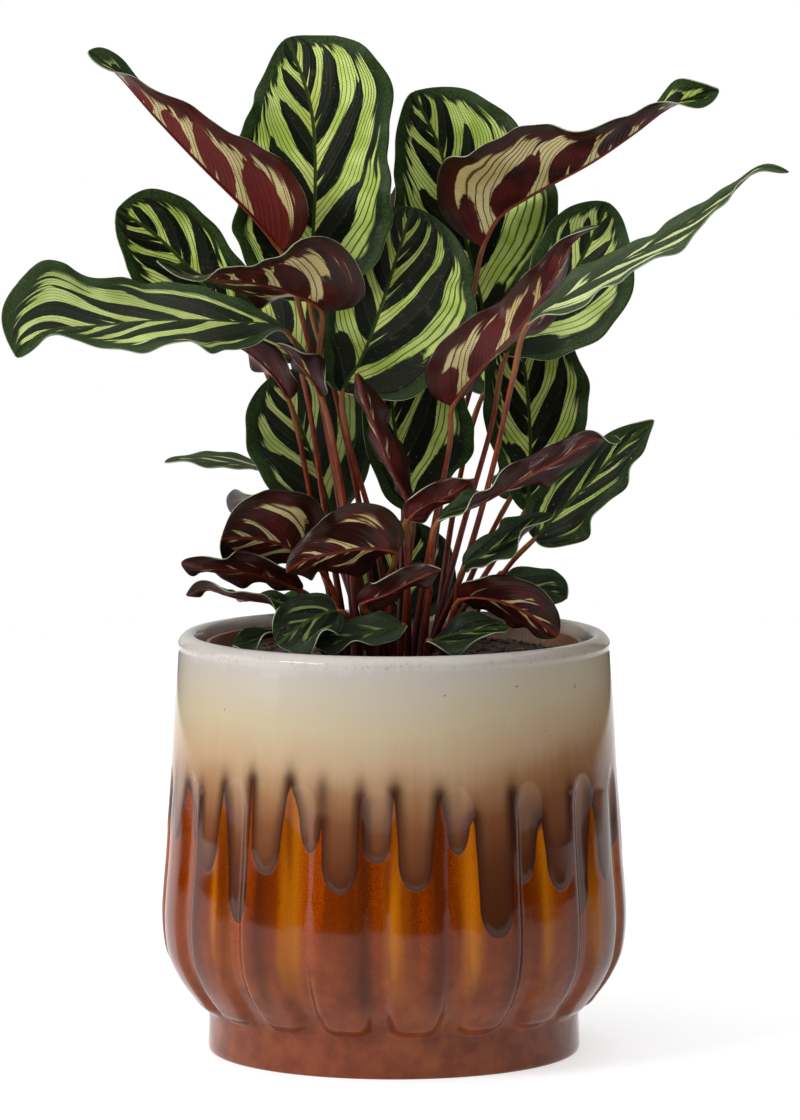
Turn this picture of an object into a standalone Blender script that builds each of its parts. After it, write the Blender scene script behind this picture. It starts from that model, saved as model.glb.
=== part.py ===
"""A peacock plant in a fluted ceramic pot: the pot, the plastic nursery pot that stands in it, the
potting soil, and the leaves, each a blade fused to its own stalk. Metres, +Z up. The origin is the
middle of the pot's underside, and the front is towards -Y. Lengths below are in millimetres."""

import math

import bmesh
import bpy
import numpy as np

MM = 0.001
GAP = 0.3

# the ceramic pot
POT_WALL = [
    # height, radius of the outside
    (0.0, 79.0), (1.0, 79.8), (15.0, 79.8), (20.5, 81.9), (25.0, 87.2), (33.5, 93.8), (42.0, 97.9),
    (50.0, 99.5), (60.0, 100.0), (85.0, 98.2), (108.0, 96.8), (117.0, 96.3), (124.0, 95.9),
    (150.0, 94.5), (174.0, 92.7),
]
POT_RIM = [(178.5, 91.0), (180.0, 88.2), (178.8, 85.0)]
POT_BORE = [
    (174.0, 83.6), (150.0, 85.4), (108.0, 87.8), (60.0, 90.4), (46.0, 88.2), (34.0, 82.6), (24.0, 75.0),
    (16.0, 68.0), (12.0, 64.5),
]
FLUTES = 18
FLUTE_START = math.radians(-4.0)
FLUTE_EDGE = math.radians(4.6)
FLUTE_BED = math.radians(2.2)
FLUTE_DEPTH = [
    # height, depth of the bed
    (15.0, 0.0), (20.5, 1.5), (25.0, 3.1), (33.5, 2.9), (60.0, 2.6), (108.0, 2.4), (117.0, 1.4), (124.0, 0.0),
]

# the nursery pot
CUP_SIDES = 32
CUP_FLOOR = POT_BORE[-1][0] + GAP
CUP_TOP = 176.0
CUP_LIP_HEIGHT = 11.0
CUP_LIP_RADIUS = 81.0
CUP_TOP_RADIUS = 79.6
CUP_FOOT_RADIUS = 62.0
CUP_WALL = 1.5

# the soil, flat where the stalks stand and heaped a little round them
SOIL_LEVEL = 170.0
SOIL_RINGS = [
    # radius, level, height of the heaps
    (46.0, 169.5, 0.0), (58.0, 170.6, 0.9), (69.0, 170.2, 1.1),
]
SOIL_EDGE = 168.4

# the stalks, which stand in holes in the soil
STALK_DEPTH = 16.0
STALK_SIDES = 5
STALK_RADIUS = 1.3
STALK_END_SHARES = np.array([0.07, 0.16])
STALK_END_RADII = STALK_RADIUS * np.array([0.7, 0.45])
STALK_END_SINK = 0.33

# the leaves, whose points were read on the pot's middle plane, as this eye sees them
EYE = np.array([2.5, -3000.0, 529.0])
CURVE_STEPS = 12
BLADE_COLUMNS = 2
FINE_STEPS = 8
TIP_SHARE = 0.035
LEAF_THICKNESS = 0.8


def clear_scene():
    for item in list(bpy.data.objects):
        bpy.data.objects.remove(item)


def make_material(name, colour, roughness):
    material = bpy.data.materials.new(name)
    material.use_nodes = True
    shader = material.node_tree.nodes["Principled BSDF"]
    shader.inputs["Base Color"].default_value = (*colour, 1.0)
    shader.inputs["Roughness"].default_value = roughness
    shader.inputs["Metallic"].default_value = 0.0
    return material


def make_object(name, points, faces, material, sharp_degrees=35.0):
    """A smooth-shaded mesh object from points in millimetres."""
    mesh = bpy.data.meshes.new(name)
    mesh.from_pydata([tuple(point * MM) for point in points], [], faces)
    mesh.materials.append(material)
    mesh.shade_smooth()
    mesh.set_sharp_from_angle(angle=math.radians(sharp_degrees))
    made = bpy.data.objects.new(name, mesh)
    bpy.context.scene.collection.objects.link(made)
    return made


def combined(name, target, helper, operation, solver):
    """The target's mesh after a Boolean with the helper."""
    change = target.modifiers.new("combine", "BOOLEAN")
    change.operation = operation
    change.solver = solver
    change.object = helper
    graph = bpy.context.evaluated_depsgraph_get()
    mesh = bpy.data.meshes.new_from_object(target.evaluated_get(graph))
    mesh.name = name
    target.modifiers.remove(change)
    return mesh


def closed_volume(mesh):
    """The volume of a closed mesh, or zero if it is open or empty."""
    shape = bmesh.new()
    shape.from_mesh(mesh)
    closed = all(len(edge.link_faces) == 2 for edge in shape.edges)
    volume = shape.calc_volume(signed=True) if closed and shape.faces else 0.0
    shape.free()
    return volume


def keep_largest_body(mesh):
    """Drops the scraps that a Boolean can leave beside the one wanted body."""
    shape = bmesh.new()
    shape.from_mesh(mesh)
    left = set(shape.verts)
    bodies = []
    while left:
        found = [left.pop()]
        body = set(found)
        while found:
            for edge in found.pop().link_edges:
                for vert in edge.verts:
                    if vert in left:
                        left.remove(vert)
                        body.add(vert)
                        found.append(vert)
        bodies.append(body)
    bodies.sort(key=len)
    scraps = [vert for body in bodies[:-1] for vert in body]
    bmesh.ops.delete(shape, geom=scraps, context="VERTS")
    shape.to_mesh(mesh)
    shape.free()


def replace_mesh(target, mesh, helper):
    """Gives the target its new mesh and removes the helper."""
    old = target.data
    target.data = mesh
    bpy.data.meshes.remove(old)
    spent = helper.data
    bpy.data.objects.remove(helper)
    bpy.data.meshes.remove(spent)


def turned(rings):
    """Points and faces of a closed body from rings of equal size, first ring at the bottom outside."""
    count = len(rings[0])
    points = np.vstack(rings)
    faces = []
    for row in range(len(rings) - 1):
        for step in range(count):
            a = row * count + step
            b = row * count + (step + 1) % count
            faces.append((a, b, b + count, a + count))
    faces.append(tuple(range(count - 1, -1, -1)))
    last = (len(rings) - 1) * count
    faces.append(tuple(range(last, last + count)))
    return points, faces


def ring(radii, height, angles):
    """Points round the axis, with the angle measured from the front towards +X."""
    radii = np.broadcast_to(radii, angles.shape)
    heights = np.broadcast_to(height, angles.shape)
    return np.stack([radii * np.sin(angles), -radii * np.cos(angles), heights], axis=1)


def flute_angles():
    pitch = 2 * math.pi / FLUTES
    across = np.array([-FLUTE_EDGE, -FLUTE_BED, FLUTE_BED, FLUTE_EDGE])
    starts = FLUTE_START + pitch * np.arange(FLUTES)
    return (starts[:, None] + across[None, :]).ravel()


def make_pot(material):
    """The pot: a rounded rim, flutes below a smooth band, a set-back foot and a flat underside."""
    angles = flute_angles()
    in_bed = np.tile([0.0, 1.0, 1.0, 0.0], FLUTES)
    depth_heights, depths = zip(*FLUTE_DEPTH)
    rings = []
    for height, radius in POT_WALL:
        depth = np.interp(height, depth_heights, depths)
        rings.append(ring(radius - depth * in_bed, height, angles))
    for height, radius in POT_RIM + POT_BORE:
        rings.append(ring(radius, height, angles))
    points, faces = turned(rings)
    return make_object("pot", points, faces, material)


def cup_radius(height):
    share = (height - CUP_FLOOR) / (CUP_TOP - CUP_FLOOR)
    return CUP_FOOT_RADIUS + (CUP_TOP_RADIUS - CUP_FOOT_RADIUS) * share


def cup_angles():
    return 2 * math.pi * np.arange(CUP_SIDES) / CUP_SIDES


def make_nursery_pot(material):
    """A tapered cup with a lip, standing on the floor of the ceramic pot."""
    angles = cup_angles()
    lip_foot = CUP_TOP - CUP_LIP_HEIGHT
    inner_floor = CUP_FLOOR + CUP_WALL
    outline = [
        (CUP_FLOOR, CUP_FOOT_RADIUS),
        (lip_foot, cup_radius(lip_foot)),
        (lip_foot + 1.0, CUP_LIP_RADIUS),
        (CUP_TOP, CUP_LIP_RADIUS),
        (CUP_TOP, CUP_TOP_RADIUS - CUP_WALL),
        (inner_floor, cup_radius(inner_floor) - CUP_WALL),
    ]
    points, faces = turned([ring(radius, height, angles) for height, radius in outline])
    return make_object("nursery_pot", points, faces, material)


def make_soil(material, feet):
    """The soil filling the nursery pot, with a plain hole for each stalk."""
    angles = cup_angles()
    floor = CUP_FLOOR + CUP_WALL + GAP
    side_gap = CUP_WALL + GAP / math.cos(math.pi / CUP_SIDES)
    rings = [
        ring(cup_radius(floor) - side_gap, floor, angles),
        ring(cup_radius(SOIL_EDGE) - side_gap, SOIL_EDGE, angles),
    ]
    for radius, level, heap in reversed(SOIL_RINGS):
        bumps = heap * np.sin(3 * angles + radius) + 0.5 * heap * np.sin(7 * angles - radius)
        rings.append(ring(radius, level + bumps, angles))
    points, faces = turned(rings)
    soil = make_object("soil", points, faces, material)
    holes = make_hole_cutters(feet, material)
    replace_mesh(soil, combined("soil", soil, holes, "DIFFERENCE", "EXACT"), holes)
    return soil


def make_hole_cutters(feet, material):
    """Five-sided posts, one round each stalk's buried end, all in one object."""
    turn = 2 * math.pi * np.arange(STALK_SIDES) / STALK_SIDES
    points = []
    faces = []
    for x, y, stalk_radius in feet:
        radius = stalk_radius + GAP / math.cos(math.pi / STALK_SIDES)
        outline = np.stack([x + radius * np.cos(turn), y + radius * np.sin(turn)], axis=1)
        floor = np.full((STALK_SIDES, 1), SOIL_LEVEL - STALK_DEPTH - GAP)
        top = np.full((STALK_SIDES, 1), SOIL_LEVEL + STALK_DEPTH)
        post, sides = turned([np.hstack([outline, floor]), np.hstack([outline, top])])
        offset = sum(len(block) for block in points)
        points.append(post)
        faces += [tuple(index + offset for index in face) for face in sides]
    cutters = make_object("hole_cutters", np.vstack(points), faces, material)
    cutters.hide_render = True
    cutters.display_type = "WIRE"
    return cutters


def unit(vectors):
    return vectors / np.linalg.norm(vectors, axis=-1, keepdims=True)


def sighted(point):
    """A point (x, z, depth) read on the middle plane, carried along the line of sight to its own depth."""
    x, z, depth = point
    on_plane = np.array([x, 0.0, z])
    return EYE + (on_plane - EYE) * (depth - EYE[1]) / -EYE[1]


def between(t, start, end, first, last):
    """A straight blend of two points, from the first at t = start to the last at t = end."""
    return ((end - t) * first + (t - start) * last) / (end - start)


def smooth_curve(points):
    """A centripetal Catmull-Rom curve through the points, CURVE_STEPS samples to a span."""
    points = np.asarray(points, float)
    ends = np.vstack([2 * points[0] - points[1], points, 2 * points[-1] - points[-2]])
    chords = np.linalg.norm(np.diff(ends, axis=0), axis=1)
    knots = np.concatenate([[0.0], np.cumsum(chords ** 0.5)])
    spans = []
    for span in range(1, len(ends) - 2):
        t = np.linspace(knots[span], knots[span + 1], CURVE_STEPS, endpoint=False)[:, None]
        k = knots[span - 1 : span + 3]
        p = ends[span - 1 : span + 3]
        first = [between(t, k[j], k[j + 1], p[j], p[j + 1]) for j in range(3)]
        second = [between(t, k[j], k[j + 2], first[j], first[j + 1]) for j in range(2)]
        spans.append(between(t, k[1], k[2], *second))
    spans.append(points[-1:])
    return np.vstack(spans)


def length_of(samples):
    return float(np.linalg.norm(np.diff(samples, axis=0), axis=1).sum())


def along(samples, shares):
    """Points at these shares of the length of a sampled curve."""
    steps = np.concatenate([[0.0], np.cumsum(np.linalg.norm(np.diff(samples, axis=0), axis=1))])
    places = np.asarray(shares) * steps[-1]
    return np.stack([np.interp(places, steps, samples[:, axis]) for axis in range(3)], axis=-1)


def headings(samples, shares, reach):
    """Directions of a sampled curve at these shares of its length."""
    shares = np.asarray(shares)
    ahead = along(samples, np.clip(shares + reach, 0, 1))
    behind = along(samples, np.clip(shares - reach, 0, 1))
    return unit(ahead - behind)


def spread(values, t):
    """Values given at even shares of the blade, from its base to its tip, read smoothly at t."""
    values = np.asarray(values, float)
    if values.ndim == 0:
        return np.full(len(t), float(values))
    ends = np.concatenate([2 * values[:1] - values[1:2], values, 2 * values[-1:] - values[-2:-1]])
    place = np.asarray(t) * (len(values) - 1)
    span = np.clip(place.astype(int), 0, len(values) - 2)
    u = place - span
    if values.ndim == 2:
        u = u[:, None]
    a, b, c, d = (ends[span + step] for step in range(4))
    return b + 0.5 * u * (c - a + u * (2 * a - 5 * b + 4 * c - d + u * (3 * (b - c) + d - a)))


def width_share(t, widest):
    """The share of its half width that a leaf has at t: rounded at the base, pointed at the tip."""
    near = np.clip(widest - t, 0, None) / widest
    far = np.clip(t - widest, 0, None) / (1 - widest)
    return np.sqrt(1 - near ** 2) * np.clip(1 - far ** 2.1, 0, 1) ** 0.6


class Leaf:
    """One leaf, in millimetres and degrees. Its stalk rises from the foot through the stalk points into
    the rib. Facing points out of the upper side. Left and right are the half widths beside the rib, seen
    from the base with the upper side up, and each half lifts by its fold and then curls further."""

    def __init__(self, foot, stalk, rib, facing, left, right, fold, curl, wave, widest):
        under = np.array([foot[0], foot[1], SOIL_LEVEL - STALK_DEPTH])
        ground = np.array([foot[0], foot[1], SOIL_LEVEL])
        samples = smooth_curve([under, ground] + [sighted(point) for point in stalk + rib])
        split = (2 + len(stalk)) * CURVE_STEPS
        self.foot = foot
        self.under = under
        self.stalk = samples[CURVE_STEPS : split + 1]
        self.rib = samples[split:]
        self.facing = facing
        self.sides = ((-1, left, fold[0], curl[0], 0.37), (1, right, fold[1], curl[1], 0.0))
        self.wave = wave
        self.widest = widest


def stalk_radius(t):
    """A stalk is stoutest where it leaves the soil."""
    return STALK_RADIUS * (0.85 + 0.5 * (1 - t) ** 1.5)


def upper_side(leaf, t, ahead):
    """Directions out of the upper side at the rib, square to the way ahead."""
    facing = spread(leaf.facing, t)
    return unit(facing - (facing * ahead).sum(-1, keepdims=True) * ahead)


def blade_grid(leaf, rows, columns):
    """The blade's middle surface, as rows of points from the left margin to the right."""
    i = np.linspace(0, 1, rows)
    t = 0.45 * i + 0.55 * (1 - np.cos(np.pi * i)) / 2
    rib = along(leaf.rib, t)
    ahead = headings(leaf.rib, t, 0.01)
    normal = upper_side(leaf, t, ahead)
    across = np.cross(ahead, normal)
    share = np.maximum(width_share(t, leaf.widest), TIP_SHARE)
    height, turns, phase = leaf.wave
    grid = np.zeros((rows, 2 * columns + 1, 3))
    grid[:, columns] = rib
    steps = columns * FINE_STEPS
    for sign, widths, fold, curl, shift in leaf.sides:
        stride = (spread(widths, t) * share / steps)[:, None]
        fold_angle = np.radians(spread(fold, t))
        curl_angle = np.radians(spread(curl, t))
        lift = np.sin(2 * np.pi * (turns * t + phase + shift)) * height * share ** 0.7
        place = rib.copy()
        for step in range(1, steps + 1):
            angle = (fold_angle + curl_angle * ((step - 0.5) / steps) ** 1.5)[:, None]
            place = place + stride * (np.cos(angle) * sign * across + np.sin(angle) * normal)
            if step % FINE_STEPS == 0:
                q = step / steps
                angle = (fold_angle + curl_angle * q ** 1.5)[:, None]
                up = np.cos(angle) * normal - np.sin(angle) * sign * across
                grid[:, columns + sign * step // FINE_STEPS] = place + up * (lift * q ** 1.8)[:, None]
    return grid


def blade_body(leaf):
    """A thin closed blade: the same triangles on both faces and a strip round the margin."""
    rows = int(np.clip(4 + length_of(leaf.rib) / 15, 6, 10))
    grid = blade_grid(leaf, rows, BLADE_COLUMNS)
    up = unit(np.cross(np.gradient(grid, axis=1), np.gradient(grid, axis=0)))
    columns = grid.shape[1]
    points = np.vstack([
        (grid + up * LEAF_THICKNESS / 2).reshape(-1, 3),
        (grid - up * LEAF_THICKNESS / 2).reshape(-1, 3),
    ])
    below = rows * columns
    faces = []
    for row in range(rows - 1):
        for column in range(columns - 1):
            a = row * columns + column
            b = a + 1
            c = b + columns
            d = a + columns
            halves = ((a, b, d), (b, c, d)) if column < BLADE_COLUMNS else ((a, b, c), (a, c, d))
            for p, q, r in halves:
                faces.append((p, q, r))
                faces.append((p + below, r + below, q + below))
    base = list(range(columns))
    right = [row * columns + columns - 1 for row in range(1, rows)]
    tip = [(rows - 1) * columns + column for column in range(columns - 2, -1, -1)]
    left = [row * columns for row in range(rows - 2, 0, -1)]
    margin = base + right + tip + left
    for a, b in zip(margin, margin[1:] + margin[:1]):
        faces.append((a, b + below, b))
        faces.append((a, a + below, b + below))
    return points, faces


def stalk_body(leaf):
    """A five-sided stalk from its buried end to just inside the blade, below the rib."""
    rings = int(np.clip(2 + length_of(leaf.stalk) / 32, 3, 6))
    t = np.linspace(0, 1, rings)
    rib_ahead = headings(leaf.rib, STALK_END_SHARES, 0.01)
    normal = upper_side(leaf, STALK_END_SHARES, rib_ahead)
    in_blade = along(leaf.rib, STALK_END_SHARES) - STALK_END_SINK * normal
    upright = np.array([[0.0, 0.0, 1.0]])
    centres = np.vstack([[leaf.under], along(leaf.stalk, t), in_blade])
    ahead = np.vstack([upright, upright, headings(leaf.stalk, t[1:], 0.02), rib_ahead])
    radii = np.concatenate([[stalk_radius(0)], stalk_radius(t), STALK_END_RADII])
    turn = 2 * math.pi * np.arange(STALK_SIDES) / STALK_SIDES
    side = np.array([1.0, 0.0, 0.0])
    made = []
    for centre, way, radius in zip(centres, ahead, radii):
        side = unit(side - side @ way * way)
        other = np.cross(way, side)
        made.append(centre + radius * (np.cos(turn)[:, None] * side + np.sin(turn)[:, None] * other))
    return turned(made)


def make_leaf(name, leaf, material):
    """A leaf: its blade and stalk as one closed solid."""
    blade = make_object(name, *blade_body(leaf), material, sharp_degrees=60.0)
    stalk = make_object(name + "_stalk", *stalk_body(leaf), material)
    least = max(closed_volume(blade.data), closed_volume(stalk.data))
    mesh = combined(name, blade, stalk, "UNION", "EXACT")
    if closed_volume(mesh) < least:
        bpy.data.meshes.remove(mesh)
        mesh = combined(name, blade, stalk, "UNION", "MANIFOLD")
    keep_largest_body(mesh)
    replace_mesh(blade, mesh, stalk)
    return blade


# Leaf points are (x, z, depth): x and z on the middle plane as the eye sees them, depth away from the eye.
LEAVES = [
    # the tallest leaf, left of the middle
    Leaf(
        foot=(-7, 0),
        stalk=[(-14, 230, -4), (-27, 290, -8)],
        rib=[(-36, 322, -11), (-34.5, 350, -8), (-33.5, 378, 0), (-35.5, 405, 10), (-45, 434, 24)],
        facing=[(-0.05, -1, 0.1), (0.02, -1, 0.1), (0.05, -1, 0.35)],
        left=[46, 40, 34, 34, 30, 22], right=[32, 38, 33, 34, 45, 48],
        fold=(8, 8), curl=(12, 10),
        wave=(1.6, 2.5, 0.1), widest=0.46,
    ),
    # tall leaf right of the middle, behind its neighbour
    Leaf(
        foot=(9, 14),
        stalk=[(20, 240, 18), (34, 290, 24)],
        rib=[(38, 315, 26), (34, 335, 28), (27, 360, 30), (19, 388, 34), (8, 411, 42)],
        facing=[(-0.2, -1, 0.1), (-0.1, -1, 0.1), (0, -1, 0.4)],
        left=[34, 30, 27, 26, 24, 22], right=[24, 40, 46, 42, 40, 40],
        fold=(10, 6), curl=(10, 14),
        wave=(1.6, 2.5, 0.4), widest=0.45,
    ),
    # high leaf at the left, folded along its rib, its underside out
    Leaf(
        foot=(-16, -6),
        stalk=[(-24, 240, -12), (-38, 310, -20)],
        rib=[
            (-48, 343, -24), (-60, 358, -26), (-82, 380, -30), (-102, 401, -36), (-119, 420, -40),
            (-130, 428, -43),
        ],
        facing=[(0.6, 0.25, 0.7), (0.6, 0.25, 0.7), (0.6, 0.2, 0.7), (0.55, 0.1, 0.75), (0.3, -0.9, 0.4)],
        left=[35, 28, 22, 17, 13, 24], right=[22, 20, 17, 12, 10, 22],
        fold=([50, 55, 50, 25], [50, 55, 50, 10]), curl=(12, 12),
        wave=(1.6, 2.5, 0.3), widest=0.3,
    ),
    # leaf behind, between the high one and the broad one at the left
    Leaf(
        foot=(-13, 18),
        stalk=[(-26, 220, 20), (-48, 275, 23)],
        rib=[(-62, 308, 24), (-78, 325, 26), (-92, 341, 26), (-104, 352, 24), (-118, 361, 20)],
        facing=[(0.1, -1, 0.2), (0.1, -1, 0.2), (0, -1, 0.4)],
        left=[26, 26, 25, 25, 26], right=[24, 22, 20, 24, 30],
        fold=(10, 10), curl=(10, 10),
        wave=(1.5, 2.5, 0.2), widest=0.5,
    ),
    # broad leaf reaching far to the left, nearly level
    Leaf(
        foot=(-20, 0),
        stalk=[(-30, 235, -6), (-38, 285, -18)],
        rib=[
            (-46, 309, -26), (-70, 313, -34), (-100, 313.5, -44), (-128, 311, -56), (-150, 308, -66),
            (-161, 298, -72),
        ],
        facing=[(0, -0.4, 0.9), (0, -0.42, 0.9), (0, -0.42, 0.88), (-0.1, -0.7, 0.7), (-0.3, -0.9, 0.4)],
        left=[21, 34, 39, 25, 9, 9], right=[14, 20, 28, 26, 42, 32],
        fold=(6, 10), curl=(6, 10),
        wave=(2.2, 2.5, 0.75), widest=0.5,
    ),
    # leaf arching forward at the left, its underside to the front
    Leaf(
        foot=(-10, -12),
        stalk=[(-22, 235, -16), (-32, 295, -22)],
        rib=[
            (-31, 318, -28), (-45, 326, -44), (-62, 330, -64), (-80, 332, -84), (-92, 334, -98),
            (-101, 339, -106),
        ],
        facing=[(0.4, 0.4, 0.8), (-0.4, 0.5, 0.55), (-0.35, 0.5, 0.7), (0.1, 0.1, 0.95), (0.2, -0.6, 0.7)],
        left=[42, 30, 17, 12, 11, 14], right=[12, 15, 15, 13, 10, 10],
        fold=(8, 28), curl=(0, 0),
        wave=(2.2, 2.5, 0.2), widest=0.22,
    ),
    # broad leaf in the middle, lower down
    Leaf(
        foot=(0, -4),
        stalk=[(-9, 225, -8), (-20, 265, -20)],
        rib=[(-22, 283, -25), (-14, 297, -21), (-6, 318, -11), (1, 340, 1), (8, 362, 15)],
        facing=[(-0.25, -1, 0.2), (-0.1, -1, 0.35), (0, -1, 0.6)],
        left=[24, 24, 26, 28, 28], right=[40, 42, 42, 38, 36],
        fold=(8, 8), curl=(6, 8),
        wave=(1.5, 2, 0.3), widest=0.46,
    ),
    # leaf arching to the upper right, its underside to the front
    Leaf(
        foot=(11, 5),
        stalk=[(22, 250, 12), (33, 320, 17)],
        rib=[
            (38, 345, 12), (45, 358, 5), (60, 368, -6), (84, 381, -22), (103, 394, -36),
            (118, 405, -46), (138, 412, -52),
        ],
        facing=[(0.1, 0.75, 0.5), (-0.05, 0.65, 0.75), (0, 0.68, 0.7), (0, 0.4, 0.9), (-0.1, -0.9, 0.4)],
        left=[16, 16, 14, 10, 12, 34], right=[34, 37, 33, 20, 12, 24],
        fold=(70, 6), curl=(10, 10),
        wave=(2.6, 2.7, 0.1), widest=0.2,
    ),
    # narrow leaf reaching far to the right
    Leaf(
        foot=(14, -18),
        stalk=[(29, 205, -30), (42, 250, -46), (51, 290, -58)],
        rib=[
            (57, 312, -64), (74, 324, -68), (98, 339, -72), (120, 352, -76), (142, 368, -80),
            (156, 379, -84), (168, 377, -86),
        ],
        facing=[(-0.25, -0.35, 0.9), (-0.25, -0.4, 0.85), (-0.3, -0.45, 0.8), (-0.2, -0.3, 0.9)],
        left=[10, 12, 9, 6, 5, 5], right=[14, 26, 24, 17, 12, 8],
        fold=(8, 8), curl=(10, 10),
        wave=(1.5, 2.5, 0.3), widest=0.42,
    ),
    # curled leaf at the right, underside out
    Leaf(
        foot=(8, -12),
        stalk=[(16, 220, -20), (24, 262, -28)],
        rib=[
            (25, 277, -34), (39, 295, -45), (54, 311, -54), (66, 328, -58), (77, 348, -60),
            (87, 354, -62),
        ],
        facing=[(-0.17, 0.63, 0.69), (0.1, 0.7, 0.6), (0.3, 0.8, 0.4), (0.3, 0.6, 0.7), (0.2, -0.4, 0.9)],
        left=[10, 10, 12, 14, 12, 8], right=[27, 22, 17, 14, 11, 8],
        fold=(50, 6), curl=(10, 14),
        wave=(2.2, 2.2, 0.2), widest=0.26,
    ),
    # leaf standing behind the curled one
    Leaf(
        foot=(16, 6),
        stalk=[(28, 220, 6), (42, 270, 4)],
        rib=[(48, 299, 2), (60, 311, 4), (73, 328, 8), (84, 348, 12), (91, 364, 16)],
        facing=[(0.1, -1, 0.3), (0, -1, 0.3), (0.1, -1, 0.5)],
        left=[14, 14, 16, 20, 24, 24], right=[16, 22, 28, 28, 24, 22],
        fold=(10, 10), curl=(10, 10),
        wave=(1.8, 2.5, 0.2), widest=0.5,
    ),
    # leaf standing low at the right
    Leaf(
        foot=(20, 14),
        stalk=[(36, 200, 18), (50, 222, 20)],
        rib=[(56, 232, 20), (58, 250, 20), (58, 268, 21), (56, 290, 24), (52, 316, 30)],
        facing=[(-0.1, -1, 0.1), (0, -1, 0.1), (0, -1, 0.3)],
        left=[14, 17, 20, 20, 18], right=[22, 25, 26, 29, 30],
        fold=(10, 10), curl=(10, 10),
        wave=(1.5, 2.5, 0.2), widest=0.5,
    ),
    # leaf in the shade left of the middle
    Leaf(
        foot=(-5, 14),
        stalk=[(-16, 205, 9)],
        rib=[(-26, 230, 8), (-32, 248, 6), (-40, 268, 8), (-50, 291, 14)],
        facing=[(-0.1, -1, 0.1), (0, -1, 0.15), (0, -1, 0.4)],
        left=[21, 24, 25, 26, 29], right=[20, 26, 30, 36, 40],
        fold=(8, 8), curl=(8, 8),
        wave=(1.3, 2, 0.2), widest=0.5,
    ),
    # leaf in the shade in the middle
    Leaf(
        foot=(4, 8),
        stalk=[(6, 205, 6)],
        rib=[(8, 232, 4), (4, 246, 2), (1, 262, 0), (-1, 282, 0), (0, 300, 4)],
        facing=[(0.1, -1, 0.1), (0.1, -1, 0.1), (0, -1, 0.2)],
        left=14, right=[28, 34, 34, 34],
        fold=(10, 10), curl=(8, 8),
        wave=(1.3, 2, 0.2), widest=0.5,
    ),
    # leaf lying in the shade at the left
    Leaf(
        foot=(-20, 20),
        stalk=[(-34, 215, 30)],
        rib=[(-46, 246, 36), (-60, 251, 36), (-76, 253, 36), (-90, 254, 36), (-98, 253, 36)],
        facing=[(0, -0.1, 1), (0, -0.22, 1), (0, -0.16, 1)],
        left=6, right=13,
        fold=(-2, 2), curl=(0, 0),
        wave=(1.6, 2, 0.2), widest=0.45,
    ),
    # low leaf at the left, underside out
    Leaf(
        foot=(-20, -14),
        stalk=[(-27, 200, -22)],
        rib=[(-36, 211, -30), (-49, 218, -38), (-62, 220.5, -44), (-74, 220, -50)],
        facing=[(0.3, 0.9, 0.25), (0.3, 0.9, 0.25), (0.3, 0.85, 0.3)],
        left=[26, 25, 23, 22], right=[22, 22, 23, 24],
        fold=(8, 8), curl=(14, 14),
        wave=(1.8, 2.2, 0.2), widest=0.48,
    ),
    # low leaf left of the middle, hooded
    Leaf(
        foot=(-6, -26),
        stalk=[(-4, 200, -42)],
        rib=[(1, 214, -54), (-12, 216, -58), (-25, 214, -62), (-38, 211, -66), (-46, 206, -68)],
        facing=[(0.1, 0.75, 0.6), (0.1, 0.8, 0.55), (0, 0.7, 0.6)],
        left=[22, 21, 14, 10], right=[13, 16, 16, 13],
        fold=(34, 8), curl=(30, 10),
        wave=(2.5, 2, 0), widest=0.4,
    ),
    # low leaf at the left, under the one above
    Leaf(
        foot=(-26, -6),
        stalk=[(-32, 190, -16)],
        rib=[(-40, 198, -28), (-55, 204, -38), (-70, 207, -46), (-82, 208, -52), (-91, 210, -56)],
        facing=[(0.1, 0.75, 0.6), (0.1, 0.75, 0.6), (0.1, 0.7, 0.6)],
        left=9, right=9,
        fold=(8, 8), curl=(10, 10),
        wave=(1.2, 1.5, 0.2), widest=0.5,
    ),
    # low leaf at the left, edge on, its tip turned over
    Leaf(
        foot=(-22, -24),
        stalk=[(-28, 184, -36)],
        rib=[(-40, 190, -48), (-54, 193, -56), (-68, 195, -62), (-80, 199, -66), (-89, 196, -68)],
        facing=[(0, -0.4, 0.9), (0, -0.3, 0.95), (0, 0.3, 0.9), (0, 0.5, 0.8)],
        left=9, right=9,
        fold=(4, 4), curl=(10, 10),
        wave=(1.2, 1.5, 0.2), widest=0.45,
    ),
    # low leaf hanging over the rim at the left
    Leaf(
        foot=(-14, -36),
        stalk=[(-18, 184, -48)],
        rib=[(-24, 189, -61), (-33, 186.5, -66), (-42, 181, -70), (-50, 174.5, -72)],
        facing=[(0, -0.6, 0.8), (-0.1, -0.7, 0.7), (-0.2, -0.8, 0.5)],
        left=[16, 17, 16, 16], right=[14, 14, 13, 13],
        fold=(10, 10), curl=(10, 10),
        wave=(1.8, 1.5, 0.2), widest=0.5,
    ),
    # small leaf lying beside it
    Leaf(
        foot=(-28, -30),
        stalk=[(-36, 180, -40)],
        rib=[(-44, 180, -46), (-54, 178, -50), (-62, 175.5, -52), (-69, 174, -54)],
        facing=[(0, -0.3, 0.9), (0, -0.2, 0.95)],
        left=8, right=8,
        fold=(10, 10), curl=(10, 10),
        wave=(1, 1.5, 0.2), widest=0.5,
    ),
    # low leaf hanging over the rim in the middle
    Leaf(
        foot=(2, -40),
        stalk=[(4, 182, -50)],
        rib=[(4, 183, -54), (-8, 180, -60), (-22, 177, -64), (-34, 174, -66)],
        facing=[(0, -0.5, 0.8), (0, -0.6, 0.8)],
        left=10, right=10,
        fold=(10, 10), curl=(10, 10),
        wave=(1.5, 1.5, 0.2), widest=0.45,
    ),
    # small level leaf at the front
    Leaf(
        foot=(14, -36),
        stalk=[(14, 176, -44)],
        rib=[(16, 176, -50), (26, 179, -56), (38, 181, -58), (49, 182, -58)],
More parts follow.
